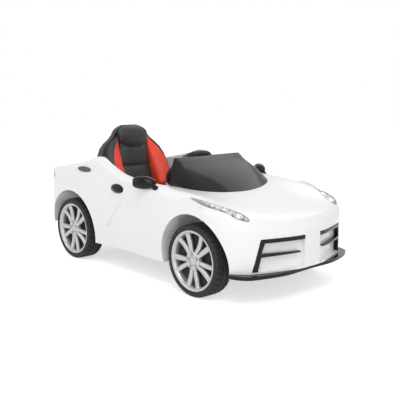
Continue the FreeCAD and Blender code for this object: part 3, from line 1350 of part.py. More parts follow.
# Base pad: sections across the seat from rear to front, flat below and crowned above
wires = []
low = S.seat_high + S.fit
length = S.seat_rear - S.seat_front
for place_share, height_share, width_share in ((0.02, 0.5, 0.94), (0.12, 1, 1), (0.5, 0.85, 1), (0.85, 1, 1),
                                               (0.98, 0.5, 0.94)):
    x = place_share * length - S.seat_rear
    half = width_share * S.seat_half
    edge = low + height_share * S.base_pad_edge
    corners = [Vector(x, -half, low), Vector(x, half, low), Vector(x, half, edge), Vector(x, -half, edge)]
    edges = [Part.LineSegment(corners[i], corners[i + 1]).toShape() for i in range(2)]
    edges.append(Part.Arc(corners[2], Vector(x, 0, edge + height_share * S.base_pad_crown), corners[3]).toShape())
    edges.append(Part.LineSegment(corners[3], corners[0]).toShape())
    wires.append(Part.Wire(edges))
feature("seat_base_pad", Part.makeLoft(wires, True, False))

doc.recompute()
for item in doc.Objects:
    if "Invalid" in item.State or "Error" in item.State:
        raise RuntimeError("%s did not build" % item.Label)
os.makedirs("parts", exist_ok=True)
for item in NODES:
    if item.Shape.isNull() or not item.Shape.isValid():
        raise RuntimeError("%s has no valid shape" % item.Label)
    item.Shape.exportStep("parts/%s.step" % item.Label)
print(len(NODES), "nodes written")
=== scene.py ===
import math

import bmesh
import bpy
import numpy as np
from mathutils import Matrix, Vector
from mathutils.bvhtree import BVHTree


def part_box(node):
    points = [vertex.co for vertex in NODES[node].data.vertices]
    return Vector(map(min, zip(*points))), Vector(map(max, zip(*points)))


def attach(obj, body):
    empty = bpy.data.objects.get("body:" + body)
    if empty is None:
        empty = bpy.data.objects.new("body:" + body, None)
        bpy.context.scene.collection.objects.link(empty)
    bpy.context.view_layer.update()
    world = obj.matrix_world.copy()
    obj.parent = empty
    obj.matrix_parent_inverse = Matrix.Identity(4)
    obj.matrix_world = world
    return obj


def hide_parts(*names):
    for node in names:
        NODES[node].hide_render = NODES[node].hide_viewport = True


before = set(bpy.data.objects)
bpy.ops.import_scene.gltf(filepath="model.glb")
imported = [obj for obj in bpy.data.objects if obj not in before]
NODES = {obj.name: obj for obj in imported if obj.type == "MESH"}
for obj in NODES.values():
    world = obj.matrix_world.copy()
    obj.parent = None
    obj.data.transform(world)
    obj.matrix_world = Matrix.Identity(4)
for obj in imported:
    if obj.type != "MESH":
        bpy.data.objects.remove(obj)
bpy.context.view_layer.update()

bl_info = {
    "name": "Electric ride-on car",
    "version": (1, 0, 0),
    "blender": (4, 5, 0),
    "location": "3D View > Sidebar > Ride-on car",
    "description": "Dresses the solids of a child's ride-on car with finishes, wheels and upholstery",
    "category": "Object",
}

CORNERS = ("front_left", "front_right", "rear_left", "rear_right")
SIDES = {"left": 1, "right": -1}
AHEAD = Vector((1, 0, 0))
LEFT = Vector((0, 1, 0))
UP = Vector((0, 0, 1))
WHITE = (1.0, 1.0, 1.0, 1.0)
BLACK = (0.0, 0.0, 0.0, 1.0)
# Radius of a ring at its closed middle, in metres
CLOSED = 0.00001


class Wire:
    """A socket of a node tree, with arithmetic that adds Math nodes."""

    def __init__(self, wiring, socket):
        self.wiring = wiring
        self.socket = socket

    def math(self, operation, first, second):
        return self.wiring.node("ShaderNodeMath", {"operation": operation}, {0: first, 1: second})

    def __add__(self, other):
        return self.math("ADD", self, other)

    def __sub__(self, other):
        return self.math("SUBTRACT", self, other)

    def __rsub__(self, other):
        return self.math("SUBTRACT", other, self)

    def __mul__(self, other):
        return self.math("MULTIPLY", self, other)

    __radd__ = __add__
    __rmul__ = __mul__

    def clipped(self, low, high):
        """This value spread from low to high onto 0 to 1."""
        return self.wiring.node(
            "ShaderNodeMapRange", {"interpolation_type": "SMOOTHSTEP"}, {0: self, 1: low, 2: high},
        )


class Wiring:
    """Adds nodes to one tree."""

    def __init__(self, tree):
        self.tree = tree

    def node(self, kind, settings=None, values=None, output=0):
        """Adds a node: its settings first, then the values or links of its sockets."""
        item = self.tree.nodes.new(kind)
        for key, value in (settings or {}).items():
            setattr(item, key, value)
        self.fill(item, values or {})
        return Wire(self, item.outputs[output])

    def fill(self, item, values):
        for key, value in values.items():
            if isinstance(value, Wire):
                self.tree.links.new(value.socket, item.inputs[key])
            else:
                item.inputs[key].default_value = value


class Finish(Wiring):
    """One material built from nodes."""

    def __init__(self, name, **sockets):
        self.material = bpy.data.materials.new(name)
        self.material.use_nodes = True
        super().__init__(self.material.node_tree)
        self.shader = self.tree.nodes["Principled BSDF"]
        self.place = self.node("ShaderNodeTexCoord", output="Object")
        self.give(**sockets)

    def give(self, **sockets):
        """Sets or links sockets of the shader; an underscore stands for a space."""
        self.fill(self.shader, {key.replace("_", " "): value for key, value in sockets.items()})

    def noise(self, scale, detail=2.0, place=None):
        values = {"Vector": place or self.place, "Scale": scale, "Detail": detail}
        return self.node("ShaderNodeTexNoise", None, values)

    def cells(self, scale, feature="F1"):
        return self.node(
            "ShaderNodeTexVoronoi", {"feature": feature}, {"Vector": self.place, "Scale": scale},
        )

    def axis(self, letter):
        return self.node("ShaderNodeSeparateXYZ", None, {0: self.place}, output=letter)

    def mix(self, factor, first, second):
        """Colour between two colours."""
        return self.node(
            "ShaderNodeMix", {"data_type": "RGBA"}, {0: factor, 6: first, 7: second}, output=2,
        )

    def bump(self, height, strength, distance):
        return self.node(
            "ShaderNodeBump", None, {"Height": height, "Strength": strength, "Distance": distance},
        )


def shade(colour, factor=1.0):
    """A colour as four numbers, lighter or darker."""
    return tuple(factor * part for part in colour) + (1.0,)


# Moulded plastics: colour, roughness, grain per metre and depth of the grain in metres
PLASTICS = {
    "dark_grey": ((0.07, 0.07, 0.072), 0.45, 700.0, 0.0004),
    "lamp_rim": ((0.16, 0.16, 0.165), 0.25, 600.0, 0.0002),
    "lamp_bulb": ((0.9, 0.9, 0.87), 0.12, 600.0, 0.0002),
    "valance_black": ((0.012, 0.012, 0.013), 0.5, 420.0, 0.0008),
    "nut_well": ((0.02, 0.02, 0.02), 0.5, 600.0, 0.0002),
    "seat_thread": ((0.09, 0.09, 0.095), 0.7, 2000.0, 0.0003),
    "cabin_black": ((0.03, 0.03, 0.032), 0.5, 480.0, 0.0008),
    "soft_grip": ((0.022, 0.022, 0.024), 0.6, 900.0, 0.0006),
    "sleeve_grip": ((0.014, 0.014, 0.015), 0.75, 1400.0, 0.0012),
    "horn_cover": ((0.03, 0.03, 0.032), 0.3, 500.0, 0.0004),
    "switch_red": ((0.62, 0.02, 0.015), 0.2, 500.0, 0.0002),
    "dial_black": ((0.008, 0.008, 0.009), 0.32, 700.0, 0.0002),
    "dial_marks": ((0.8, 0.8, 0.78), 0.45, 700.0, 0.0002),
    "wheel_thread": ((0.6, 0.03, 0.02), 0.7, 2000.0, 0.0003),
    "floor_black": ((0.02, 0.02, 0.021), 0.6, 350.0, 0.001),
}
# Metals: colour, roughness and the scale of their streaks
METALS = {
    "lamp_chrome": ((0.4, 0.405, 0.4), 0.16, 20.0),
    "lamp_cup": ((0.62, 0.63, 0.63), 0.08, 20.0),
    "cabin_silver": ((0.62, 0.62, 0.61), 0.26, 10.0),
    "zinc_steel": ((0.55, 0.56, 0.57), 0.28, 3.0),
    "motor_case": ((0.32, 0.32, 0.33), 0.35, 8.0),
}


def moulded(name, colour, rough, grain, depth, shine=0.5):
    """Moulded plastic: fine grain, cloudy gloss and slightly worn colour."""
    finish = Finish(name, Specular_IOR_Level=shine, IOR=1.5)
    cloud = finish.noise(14.0, 4.0)
    fleck = finish.noise(grain, 2.0)
    finish.give(
        Base_Color=finish.mix(cloud.clipped(0.3, 0.7), shade(colour, 0.93), shade(colour, 1.05)),
        Roughness=rough * 0.8 + rough * 0.4 * cloud,
        Normal=finish.bump(fleck, 0.25, depth),
    )
    return finish.material


def plastic(name):
    """Moulded plastic from the table."""
    return moulded(name, *PLASTICS[name])


def leatherette(name, colour, scale, beyond=None):
    """Pebbled upholstery with fine creases, in a second colour beyond a line over the height."""
    finish = Finish(name, Sheen_Weight=0.12, Sheen_Roughness=0.4, IOR=1.48)
    pebble = finish.cells(scale)
    crease = finish.cells(scale * 0.35, "DISTANCE_TO_EDGE")
    wrinkle = finish.noise(38.0, 5.0)
    worn = finish.noise(9.0, 3.0).clipped(0.35, 0.75)
    height = pebble * 0.6 + crease.clipped(0.0, 0.12) * 0.3 + wrinkle * 0.8
    cover = finish.mix(worn, shade(colour, 0.86), shade(colour, 1.12))
    if beyond:
        line, outer = beyond
        up = finish.axis("Z")
        place = float(line[0])
        for part in line[1:]:
            place = place * up + float(part)
        across = finish.node("ShaderNodeMath", {"operation": "ABSOLUTE"}, {0: finish.axis("Y")})
        cover = finish.mix((across - place).clipped(-0.0006, 0.0006), cover, shade(outer))
    finish.give(
        Base_Color=cover,
        Roughness=0.42 + 0.16 * worn + 0.06 * pebble,
        Normal=finish.bump(height, 0.35, 0.0006),
    )
    return finish.material


def metal(name):
    """Bare or plated metal from the table, with fine streaks."""
    colour, rough, brushed = METALS[name]
    finish = Finish(name, Metallic=1.0)
    streak = finish.node("ShaderNodeMapping", None, {0: finish.place, 3: (60.0, brushed, 60.0)})
    lines = finish.noise(9.0, 3.0, streak)
    stain = finish.noise(22.0, 4.0)
    finish.give(
        Base_Color=finish.mix(stain.clipped(0.35, 0.8), shade(colour), shade(colour, 0.8)),
        Roughness=rough + 0.12 * lines + 0.08 * stain,
        Normal=finish.bump(lines, 0.08, 0.0002),
    )
    return finish.material


def body_paint(colour):
    """Gloss white moulding with a little orange peel and faint clouding."""
    finish = Finish("gloss_white", Coat_Weight=0.2, Coat_Roughness=0.05, IOR=1.46)
    peel = finish.noise(420.0, 1.0)
    cloud = finish.noise(6.0, 3.0)
    finish.give(
        Base_Color=finish.mix(cloud, shade(colour), shade(colour, 0.965)),
        Roughness=0.2 + 0.1 * cloud,
        Normal=finish.bump(peel, 0.03, 0.0004),
    )
    return finish.material


def tyre_rubber(colour):
    """Matt rubber, dusty on the tread, with a fine grain."""
    finish = Finish("tyre_rubber", IOR=1.48, Specular_IOR_Level=0.35)
    dust = finish.noise(130.0, 5.0)
    patch = finish.noise(18.0, 3.0)
    finish.give(
        Base_Color=finish.mix(dust * patch, shade(colour), shade(colour, 2.4)),
        Roughness=0.58 + 0.25 * dust,
        Normal=finish.bump(dust + 0.5 * finish.noise(900.0), 0.2, 0.0005),
    )
    return finish.material


def silver_paint(colour):
    """Silver lacquer with metal flake under a clear coat."""
    finish = Finish("silver_lacquer", Metallic=0.7, Coat_Weight=0.35, Coat_Roughness=0.08)
    flake = finish.cells(2600.0)
    cloud = finish.noise(24.0, 4.0)
    finish.give(
        Base_Color=finish.mix(flake, shade(colour, 0.92), shade(colour, 1.06)),
        Roughness=0.28 + 0.12 * cloud + 0.08 * flake,
        Normal=finish.bump(flake, 0.05, 0.0002),
    )
    return finish.material


def clear_lens():
    """Clear lamp cover."""
    finish = Finish(
        "clear_lens", Transmission_Weight=1.0, IOR=1.18, Coat_Weight=0.6, Coat_Roughness=0.02,
    )
    haze = finish.noise(50.0, 3.0)
    finish.give(
        Base_Color=finish.mix(haze, (0.97, 0.985, 1.0, 1.0), (0.93, 0.95, 0.965, 1.0)),
        Roughness=0.02 + 0.05 * haze,
    )
    return finish.material


def red_lens(colour):
    """Red lamp cover with small moulded prisms."""
    finish = Finish("red_lens", Coat_Weight=0.8, Coat_Roughness=0.03, Transmission_Weight=0.15)
    prisms = finish.cells(260.0)
    finish.give(
        Base_Color=finish.mix(prisms, shade(colour, 1.1), shade(colour, 0.6)),
        Roughness=0.12 + 0.1 * prisms,
        Normal=finish.bump(prisms, 0.4, 0.0008),
    )
    return finish.material


def smoke_screen(colour):
    """Dark smoked moulding, very glossy, with faint flow marks."""
    finish = Finish("smoke_screen", IOR=1.29)
    flow = finish.node("ShaderNodeMapping", None, {0: finish.place, 3: (3.0, 14.0, 5.0)})
    mark = finish.noise(2.0, 4.0, flow)
    finish.give(
        Base_Color=finish.mix(mark.clipped(0.3, 0.7), shade(colour, 0.8), shade(colour, 1.25)),
        Roughness=0.07 + 0.06 * mark,
        Normal=finish.bump(mark, 0.03, 0.002),
    )
    return finish.material


def mirror_face():
    """Polished mirror with a trace of dust."""
    finish = Finish("mirror_face", Metallic=1.0)
    dust = finish.noise(90.0, 4.0)
    finish.give(
        Base_Color=finish.mix(dust, (0.86, 0.88, 0.9, 1.0), (0.8, 0.82, 0.84, 1.0)),
        Roughness=0.02 + 0.05 * dust,
    )
    return finish.material


def shown(name, data):
    """New object in the scene."""
    item = bpy.data.objects.new(name, data)
    bpy.context.scene.collection.objects.link(item)
    return item


def new_mesh(name, points, faces, smooth=True):
    """Mesh object in the scene, with its faces turned outwards."""
    mesh = bpy.data.meshes.new(name)
    mesh.from_pydata([tuple(p) for p in points], [], faces)
    work = bmesh.new()
    work.from_mesh(mesh)
    bmesh.ops.recalc_face_normals(work, faces=work.faces)
    work.to_mesh(mesh)
    work.free()
    for face in mesh.polygons:
        face.use_smooth = smooth
    return shown(name, mesh)


def dress(item, body, slot, material, *nodes):
    """Gives a new piece its finish, its body and the solids it stands for."""
    item.data.materials.clear()
    item.data.materials.append(material)
    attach(item, body)
    if nodes:
        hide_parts(*nodes)
    return item


def finish_nodes(material, *names):
    """Solids kept as they are, with a better finish."""
    for name in names:
        slots = NODES[name].data.materials
        slots.clear()
        slots.append(material)


def band(first, second, count):
    """Faces between two rings of points, each given by the number of its first point."""
    faces = []
    for index in range(count):
        after = (index + 1) % count
        faces.append((first + index, first + after, second + after, second + index))
    return faces


def lathe(profile, steps, shift=None):
    """Closed profile of (place, radius) pairs turned about the Y axis."""
    points = []
    faces = []
    count = len(profile)
    for step in range(steps):
        turn = 2 * math.pi * step / steps
        for index, (place, radius) in enumerate(profile):
            if shift:
                radius += shift(index, step)
            points.append((radius * math.cos(turn), place, radius * math.sin(turn)))
        faces.extend(band(step * count, (step + 1) % steps * count, count))
    return points, faces


def loft(rings):
    """Skin through closed rings of equal count, with both ends filled."""
    count = len(rings[0])
    points = [point for ring in rings for point in ring]
    faces = [tuple(range(count)), tuple(range(len(points) - count, len(points)))]
    for row in range(len(rings) - 1):
        faces.extend(band(row * count, (row + 1) * count, count))
    return points, faces


def joined(parts):
    """Several (points, faces) lists as one."""
    points = []
    faces = []
    for some_points, some_faces in parts:
        start = len(points)
        points.extend(some_points)
        faces.extend(tuple(start + index for index in face) for face in some_faces)
    return points, faces


def placed(shape, spot, along):
    """A (points, faces) shape moved to a spot with its Y axis turned along a direction."""
    points, faces = shape
    turn = LEFT.rotation_difference(along).to_matrix()
    return [turn @ Vector(point) + Vector(spot) for point in points], faces


def framed(shape, origin, axes):
    """A (points, faces) shape carried from a local frame, given by its origin and three axes."""
    points, faces = shape
    return [origin + x * axes[0] + y * axes[1] + z * axes[2] for x, y, z in points], faces


def tube(path, radii, sides, up=AHEAD):
    """Round bar along a path, with one radius for each of its points."""
    rings = []
    last = len(path) - 1
    turns = [2 * math.pi * number / sides for number in range(sides)]
    for index, spot in enumerate(path):
        ahead = path[min(index + 1, last)] - path[max(index - 1, 0)]
        over = ahead.cross(up).normalized()
        lift = over.cross(ahead).normalized()
        ways = [math.cos(turn) * over + math.sin(turn) * lift for turn in turns]
        rings.append([spot + radii[index] * way for way in ways])
    return loft(rings)


def cord(path, radius, up=AHEAD):
    """Round bar of one radius along a path."""
    return tube(path, [radius] * len(path), 10, up)


def stitches(path, radius, up=AHEAD):
    """Short threads in a row along a path."""
    parts = []
    for first, second in zip(path, path[1:]):
        steps = [first.lerp(second, share) for share in (0.1, 0.25, 0.65, 0.8)]
        parts.append(tube(steps, (0.3 * radius, radius, radius, 0.3 * radius), 6, up))
    return joined(parts)


BOX_CORNERS = (
    (-1, -1, -1), (1, -1, -1), (1, 1, -1), (-1, 1, -1), (-1, -1, 1), (1, -1, 1), (1, 1, 1), (-1, 1, 1),
)
BOX_FACES = ((0, 3, 2, 1), (4, 5, 6, 7), (0, 1, 5, 4), (1, 2, 6, 5), (2, 3, 7, 6), (3, 0, 4, 7))


def bricks(table, spot=(0, 0, 0)):
    """Plain boxes of a table of (middle, size) pairs, moved to a spot."""
    parts = []
    for middle, size in table:
        centre = [start + step for start, step in zip(spot, middle)]
        points = [
            [place + sign * length / 2 for place, length, sign in zip(centre, size, signs)]
            for signs in BOX_CORNERS
        ]
        parts.append((points, BOX_FACES))
    return joined(parts)


def ring(inner, outer, low, high):
    """Flat ring about the Y axis with eased edges."""
    ease = 0.25 * (high - low)
    profile = (
        (low, inner), (high - ease, inner), (high, inner + ease),
        (high, outer - ease), (high - ease, outer), (low, outer),
    )
    return lathe(profile, 48)


def eased(item, width):
    """Rounds the edges of a piece."""
    edge = item.modifiers.new("eased", "BEVEL")
    edge.width = width
    edge.segments = 2
    return item


def softened(name, width):
    """Rounds the sharp edges of a solid that is kept."""
    item = NODES[name]
    item.modifiers.new("weld", "WELD").merge_threshold = 0.00002
    edge = item.modifiers.new("rounded", "BEVEL")
    edge.width = width
    edge.segments = 3
    edge.limit_method = "ANGLE"
    edge.angle_limit = math.radians(40)
    edge.use_clamp_overlap = True


def skin(items):
    """Search tree over the outside of several pieces."""
    graph = bpy.context.evaluated_depsgraph_get()
    shapes = []
    for item in items:
        final = item.evaluated_get(graph)
        mesh = final.to_mesh()
        points = [item.matrix_world @ vertex.co for vertex in mesh.vertices]
        shapes.append((points, [tuple(face.vertices) for face in mesh.polygons]))
        final.to_mesh_clear()
    return BVHTree.FromPolygons(*joined(shapes))


def drop(tree, x, y):
    """Point on a skin under a place seen from above, and the direction out of the skin there."""
    return tree.ray_cast(Vector((x, y, 0.5)), -UP)[:2]


class RideOnColours(bpy.types.PropertyGroup):
    body: bpy.props.FloatVectorProperty(
        name="Body", description="Colour of the body moulding", subtype="COLOR", size=3,
        default=(0.87, 0.875, 0.885))
    screen: bpy.props.FloatVectorProperty(
        name="Windscreen", description="Colour of the smoked windscreen", subtype="COLOR", size=3,
        default=(0.009, 0.008, 0.007))
    trim: bpy.props.FloatVectorProperty(
        name="Trim", description="Colour of the gloss black trim", subtype="COLOR", size=3,
        default=(0.004, 0.004, 0.0045))
    seat: bpy.props.FloatVectorProperty(
        name="Seat", description="Colour of the seat's middle", subtype="COLOR", size=3,
        default=(0.028, 0.028, 0.03))
    bolster: bpy.props.FloatVectorProperty(
        name="Bolsters", description="Colour of the seat's side bolsters", subtype="COLOR", size=3,
        default=(1.0, 0.07, 0.03))
    wheel: bpy.props.FloatVectorProperty(
        name="Wheel covers", description="Colour of the wheel covers", subtype="COLOR", size=3,
        default=(0.47, 0.47, 0.46))
    tyre: bpy.props.FloatVectorProperty(
        name="Tyres", description="Colour of the tyres", subtype="COLOR", size=3,
        default=(0.016, 0.016, 0.017))
    cabin: bpy.props.FloatVectorProperty(
        name="Cabin", description="Colour of the cabin liner", subtype="COLOR", size=3,
        default=(0.72, 0.725, 0.735))


class RideOnSizes(bpy.types.PropertyGroup):
    tread_count: bpy.props.IntProperty(
        name="Tread blocks", description="Shoulder blocks round each tyre", default=36, min=12, max=72)
    tread_depth: bpy.props.FloatProperty(
        name="Tread depth", description="Depth of the tread grooves", unit="LENGTH", default=0.0035)
    spoke_pairs: bpy.props.IntProperty(
        name="Spoke pairs", description="Pairs of spokes on each wheel cover", default=5, min=3, max=9)
    pad_voxel: bpy.props.FloatProperty(
        name="Pad mesh", description="Mesh size of the stuffed pads", unit="LENGTH", default=0.0045)
    stitch: bpy.props.FloatProperty(
        name="Stitch", description="Length of one stitch", unit="LENGTH", default=0.006)


class RideOnStage(bpy.types.PropertyGroup):
    eye: bpy.props.FloatVectorProperty(
        name="Camera", description="Place of the camera", subtype="XYZ", unit="LENGTH", size=3,
        default=(1.6913, -1.5333, 0.6073))
    yaw: bpy.props.FloatProperty(
        name="Yaw", description="Turn of the camera about the car", unit="ROTATION",
        default=math.radians(47.14))
    pitch: bpy.props.FloatProperty(
        name="Pitch", description="Downward tilt of the camera", unit="ROTATION",
        default=math.radians(9.36))
    lens: bpy.props.FloatProperty(
        name="Lens", description="Focal length of the camera", unit="CAMERA", default=59.28)


class RideOnSettings(bpy.types.PropertyGroup):
    colours: bpy.props.PointerProperty(type=RideOnColours)
    sizes: bpy.props.PointerProperty(type=RideOnSizes)
    stage: bpy.props.PointerProperty(type=RideOnStage)


def settings():
    return bpy.context.scene.ride_on


# Rounding of the grille trim's edges, in metres
TRIM_EDGE = 0.0025


class RIDEON_OT_body(bpy.types.Operator):
    """Finishes of the body moulding, the windscreen, the trim and the mirrors"""

    bl_idname = "rideon.body"
    bl_label = "Body"

    def execute(self, context):
        colours = settings().colours
        finish_nodes(body_paint(colours.body), "body_shell")
        finish_nodes(smoke_screen(colours.screen), "windscreen")
        finish_nodes(plastic("dark_grey"), "fuel_cap")
        black = moulded("gloss_black", colours.trim, rough=0.1, grain=500.0, depth=0.0001, shine=0.24)
        finish_nodes(black, "front_splitter")
        glass = mirror_face()
        for label in SIDES:
            trim = "grille_trim_" + label
            finish_nodes(black, trim, "door_handle_" + label, "mirror_housing_" + label)
            finish_nodes(glass, "mirror_glass_" + label)
            softened(trim, TRIM_EDGE)
        return {"FINISHED"}


# Headlamp bowls: place forward, out and up, then radius, in metres
LAMP_BOWLS = (
    (0.4303, 0.216, 0.2606, 0.0183), (0.3907, 0.2295, 0.2749, 0.0146), (0.3538, 0.24435, 0.2846, 0.0099),
)
# Small lights from the last bowl to the rear tip: place forward and out
LAMP_ROW = ((0.3365, 0.2472), (0.327, 0.2495), (0.3175, 0.2517), (0.308, 0.2535))
# Radius of a bulb at its two tips, in metres
BULB_TIP = 0.00002


class RIDEON_OT_lamps(bpy.types.Operator):
    """Headlamps with fluted bowls, bulbs and small lights, and tail lamps"""

    bl_idname = "rideon.lamps"
    bl_label = "Lamps"

    def bowl(self, radius):
        """Fluted cup that opens along Y."""
        turns = [math.radians(degrees) for degrees in (3, 12, 24, 36, 48, 60, 72, 82)]
        inner = [(-radius * math.cos(turn), radius * math.sin(turn)) for turn in turns]
        outer = [(1.03 * place, 1.03 * out) for place, out in reversed(inner)]

        def flute(index, step):
            return 0.03 * radius if index < len(inner) and step % 4 < 2 else 0.0

        return lathe(inner + outer, 96, flute)

    def ball(self, radius):
        profile = []
        for turn in np.linspace(0, math.pi, 13):
            profile.append((-radius * math.cos(turn), max(radius * math.sin(turn), BULB_TIP)))
        return lathe(profile, 24)

    def inside(self, label, side, chrome, dark, glow):
        """What is seen through one headlamp's cover."""
        tree = skin([NODES["headlight_lens_" + label]])
        cups = []
        rims = []
        bulbs = []
        for x, y, z, radius in LAMP_BOWLS:
            out = drop(tree, x, side * y)[1]
            spot = Vector((x, side * y, z))
            cups.append(placed(self.bowl(radius), spot, out))
            rims.append(placed(ring(radius * 0.97, radius * 1.09, -0.0008, 0.0006), spot, out))
            bulbs.append(placed(self.ball(0.3 * radius), spot - 0.55 * radius * out, out))
        for x, y in LAMP_ROW:
            spot, out = drop(tree, x, side * y)
            bulbs.append(placed(ring(0.0002, 0.0026, -0.001, 0.0006), spot - 0.0042 * out, out))
        for name, parts, material, slot in (
            ("lamp_cups_", cups, chrome, "lamp_chrome"), ("lamp_rims_", rims, dark, "trim_grey"),
            ("lamp_bulbs_", bulbs, glow, "lamp_lens"),
        ):
            dress(new_mesh(name + label, *joined(parts)), "car", slot, material)

    def execute(self, context):
        clear = clear_lens()
        chrome = metal("lamp_chrome")
        red = red_lens((0.62, 0.012, 0.01))
        insides = metal("lamp_cup"), plastic("lamp_rim"), plastic("lamp_bulb")
        for label, side in SIDES.items():
            finish_nodes(clear, "headlight_lens_" + label)
            finish_nodes(chrome, "headlight_reflector_" + label)
            finish_nodes(red, "tail_light_" + label)
            self.inside(label, side, *insides)
        return {"FINISHED"}


# Strips on the tail, in metres: ends across, heights, and the rise at the lower and the upper edge
VALANCE = ((-0.168, 0.168), (0.142, 0.188), (0.002, 0.002))
FIN_PLACES = (-0.12, -0.06, 0, 0.06, 0.12)
FIN_HALF = 0.0025
FIN_HEIGHTS = (0.144, 0.184)
FIN_RISE = (0.006, 0.003)
REFLECTOR_ENDS = (0.19, 0.228)
REFLECTOR_HEIGHTS = (0.158, 0.172)
REFLECTOR_RISE = (0.002, 0.002)
# Frame of the bare plate: half width and half height, height of its middle, width and rise of its bars
PLATE_HALF = (0.066, 0.027)
PLATE_MIDDLE = 0.238
PLATE_BAR = 0.004
PLATE_RISE = (0.0022, 0.0022)
# How far strips reach into the tail, and places across a strip with the share of its rise there
STRIP_SINK = 0.0008
STRIP_SECTION = ((0, 0.4), (0.06, 1), (0.5, 1), (0.94, 1), (1, 0.4))


class RIDEON_OT_tail(bpy.types.Operator):
    """Valance with fins, reflectors and the frame of a bare plate on the tail"""

    bl_idname = "rideon.tail"
    bl_label = "Tail"

    def strip(self, tree, across, heights, rise):
        """Raised strip on the tail between two places across and two heights."""
        rings = []
        for y in np.linspace(*across, 25):
            outer = []
            inner = []
            for share, full in STRIP_SECTION:
                z = heights[0] + share * (heights[1] - heights[0])
                spot, out = tree.ray_cast(Vector((-1, y, z)), AHEAD)[:2]
                lift = rise[0] + share * (rise[1] - rise[0])
                outer.append(spot + full * lift * out)
                inner.append(spot - STRIP_SINK * out)
            rings.append(outer + inner[::-1])
        return loft(rings)

    def plate(self, tree):
        """Four bars round the place of a plate."""
        width, height = PLATE_HALF
        half = PLATE_BAR / 2
        ends = (-width, width)
        heights = (PLATE_MIDDLE - height, PLATE_MIDDLE + height)
        bars = []
        for side in (-1, 1):
            up = PLATE_MIDDLE + side * height
            bars.append(self.strip(tree, ends, (up - half, up + half), PLATE_RISE))
            place = side * (width - half)
            bars.append(self.strip(tree, (place - half, place + half), heights, PLATE_RISE))
        return joined(bars)

    def reflector(self, tree, side):
        ends = [side * end for end in REFLECTOR_ENDS]
        return self.strip(tree, ends, REFLECTOR_HEIGHTS, REFLECTOR_RISE)

    def execute(self, context):
        tree = skin([NODES["body_shell"]])
        black = plastic("valance_black")
        parts = [self.strip(tree, *VALANCE)]
        for y in FIN_PLACES:
            parts.append(self.strip(tree, (y - FIN_HALF, y + FIN_HALF), FIN_HEIGHTS, FIN_RISE))
        dress(new_mesh("tail_valance", *joined(parts)), "car", "trim_black", black)
        dress(new_mesh("plate_frame", *self.plate(tree)), "car", "trim_black", black)
        lights = joined([self.reflector(tree, side) for side in (-1, 1)])
        dress(new_mesh("tail_reflectors", *lights), "car", "lamp_red", red_lens((0.5, 0.012, 0.01)))
        return {"FINISHED"}


# Tyre section from the inner hub face round to the outer web, in millimetres: place across, radius
TYRE_WALL_IN = (
    (0, 5.2), (0, 20.5), (1.5, 22), (36, 22), (38, 24), (38, 83), (36, 85), (2.5, 85),
    (1.2, 87), (0.6, 92), (0.2, 97), (0.9, 98), (0.9, 99), (0.2, 100), (1.2, 104), (3, 107.3),
)
TYRE_TREAD = (
    (5.6, 109.6), (9, 110.6), (14, 110.9), (19, 111), (22, 111), (23, 108.4), (26.4, 108.4), (27.4, 111),
    (31, 111), (35, 111), (39, 111), (42.6, 111), (43.6, 108.4), (47, 108.4), (48, 111), (51, 111),
    (56, 110.9), (61, 110.6), (64.4, 109.6),
)
TYRE_WALL_OUT = (
    (67, 107.3), (68.8, 104), (69.8, 100), (69.1, 99), (69.1, 98), (69.8, 97), (69.4, 95.4), (68, 94),
    (65.5, 93.35), (46.6, 93.35), (46, 92.6), (46, 5.2),
)
# Cover rim section: place across, radius
COVER_RIM = (
    (46.3, 92.9), (65.8, 92.9), (67.4, 92.2), (68, 90.8), (67.8, 88.6),
    (66, 85.8), (62.5, 83.2), (57, 81.4), (50, 80.4), (46.3, 80.2),
)
# Cover centre section, from the axis out and back
COVER_HUB = (
    (63.5, 0.01), (63.6, 8), (63.2, 11.6), (61.6, 12.4), (61.6, 13.4), (64.4, 14.2),
    (65, 16), (65, 25.5), (64.2, 27.6), (62, 28.6), (50, 29), (50, 0.01),
)
# Spoke middle lines: share of the way out, degrees, half width, front face place
FIRST_SPOKE = (
    (0, 15.5, 5.6, 63.4), (0.3, 13.4, 7.4, 61), (0.6, 14, 8.2, 60.4),
    (0.9, 14.4, 8.2, 62), (1, 15, 9.8, 63),
)
SECOND_SPOKE = (
    (0, 57, 5.4, 63.4), (0.3, 60, 7.0, 61), (0.6, 59.6, 7.2, 60.4),
    (0.9, 58, 6.8, 62), (1, 56.5, 9.6, 63),
)
# Spoke section: share of the half width, depth behind the front face
SPOKE_SECTION = (
    (-1, 10), (-1.06, 3.4), (-0.86, 0.9), (-0.4, 0.1), (0.4, 0.1), (0.86, 0.9), (1.06, 3.4), (1, 10),
)
# Degrees that the spokes are turned by, radius at which they start and length
SPOKE_START = -16
SPOKE_FOOT = 24
SPOKE_LENGTH = 59.5
# Nuts: degrees of the first, radius of their ring, then sections of a nut and of the well round it
NUT_START = 9
NUT_RING = 21
NUT_SECTION = ((61, 3.4), (66.6, 3.4), (67.4, 3), (67.8, 2.2), (67.8, 0.3))
WELL_SECTION = ((64, 5.2), (65.3, 5.2), (65.3, 0.3))
# Tread: middle of the tyre and half its plain centre, in metres, skew of the grooves, steps to a block
TYRE_MIDDLE = 0.035
PLAIN_HALF = 0.0135
GROOVE_SKEW = 14
BLOCK_STEPS = 8
# Turn of the surface at which an edge of a wheel is sharp
SHARP_TURN = math.radians(50)


def metres(section):
    """A section in millimetres as metres."""
    return [(0.001 * place, 0.001 * radius) for place, radius in section]


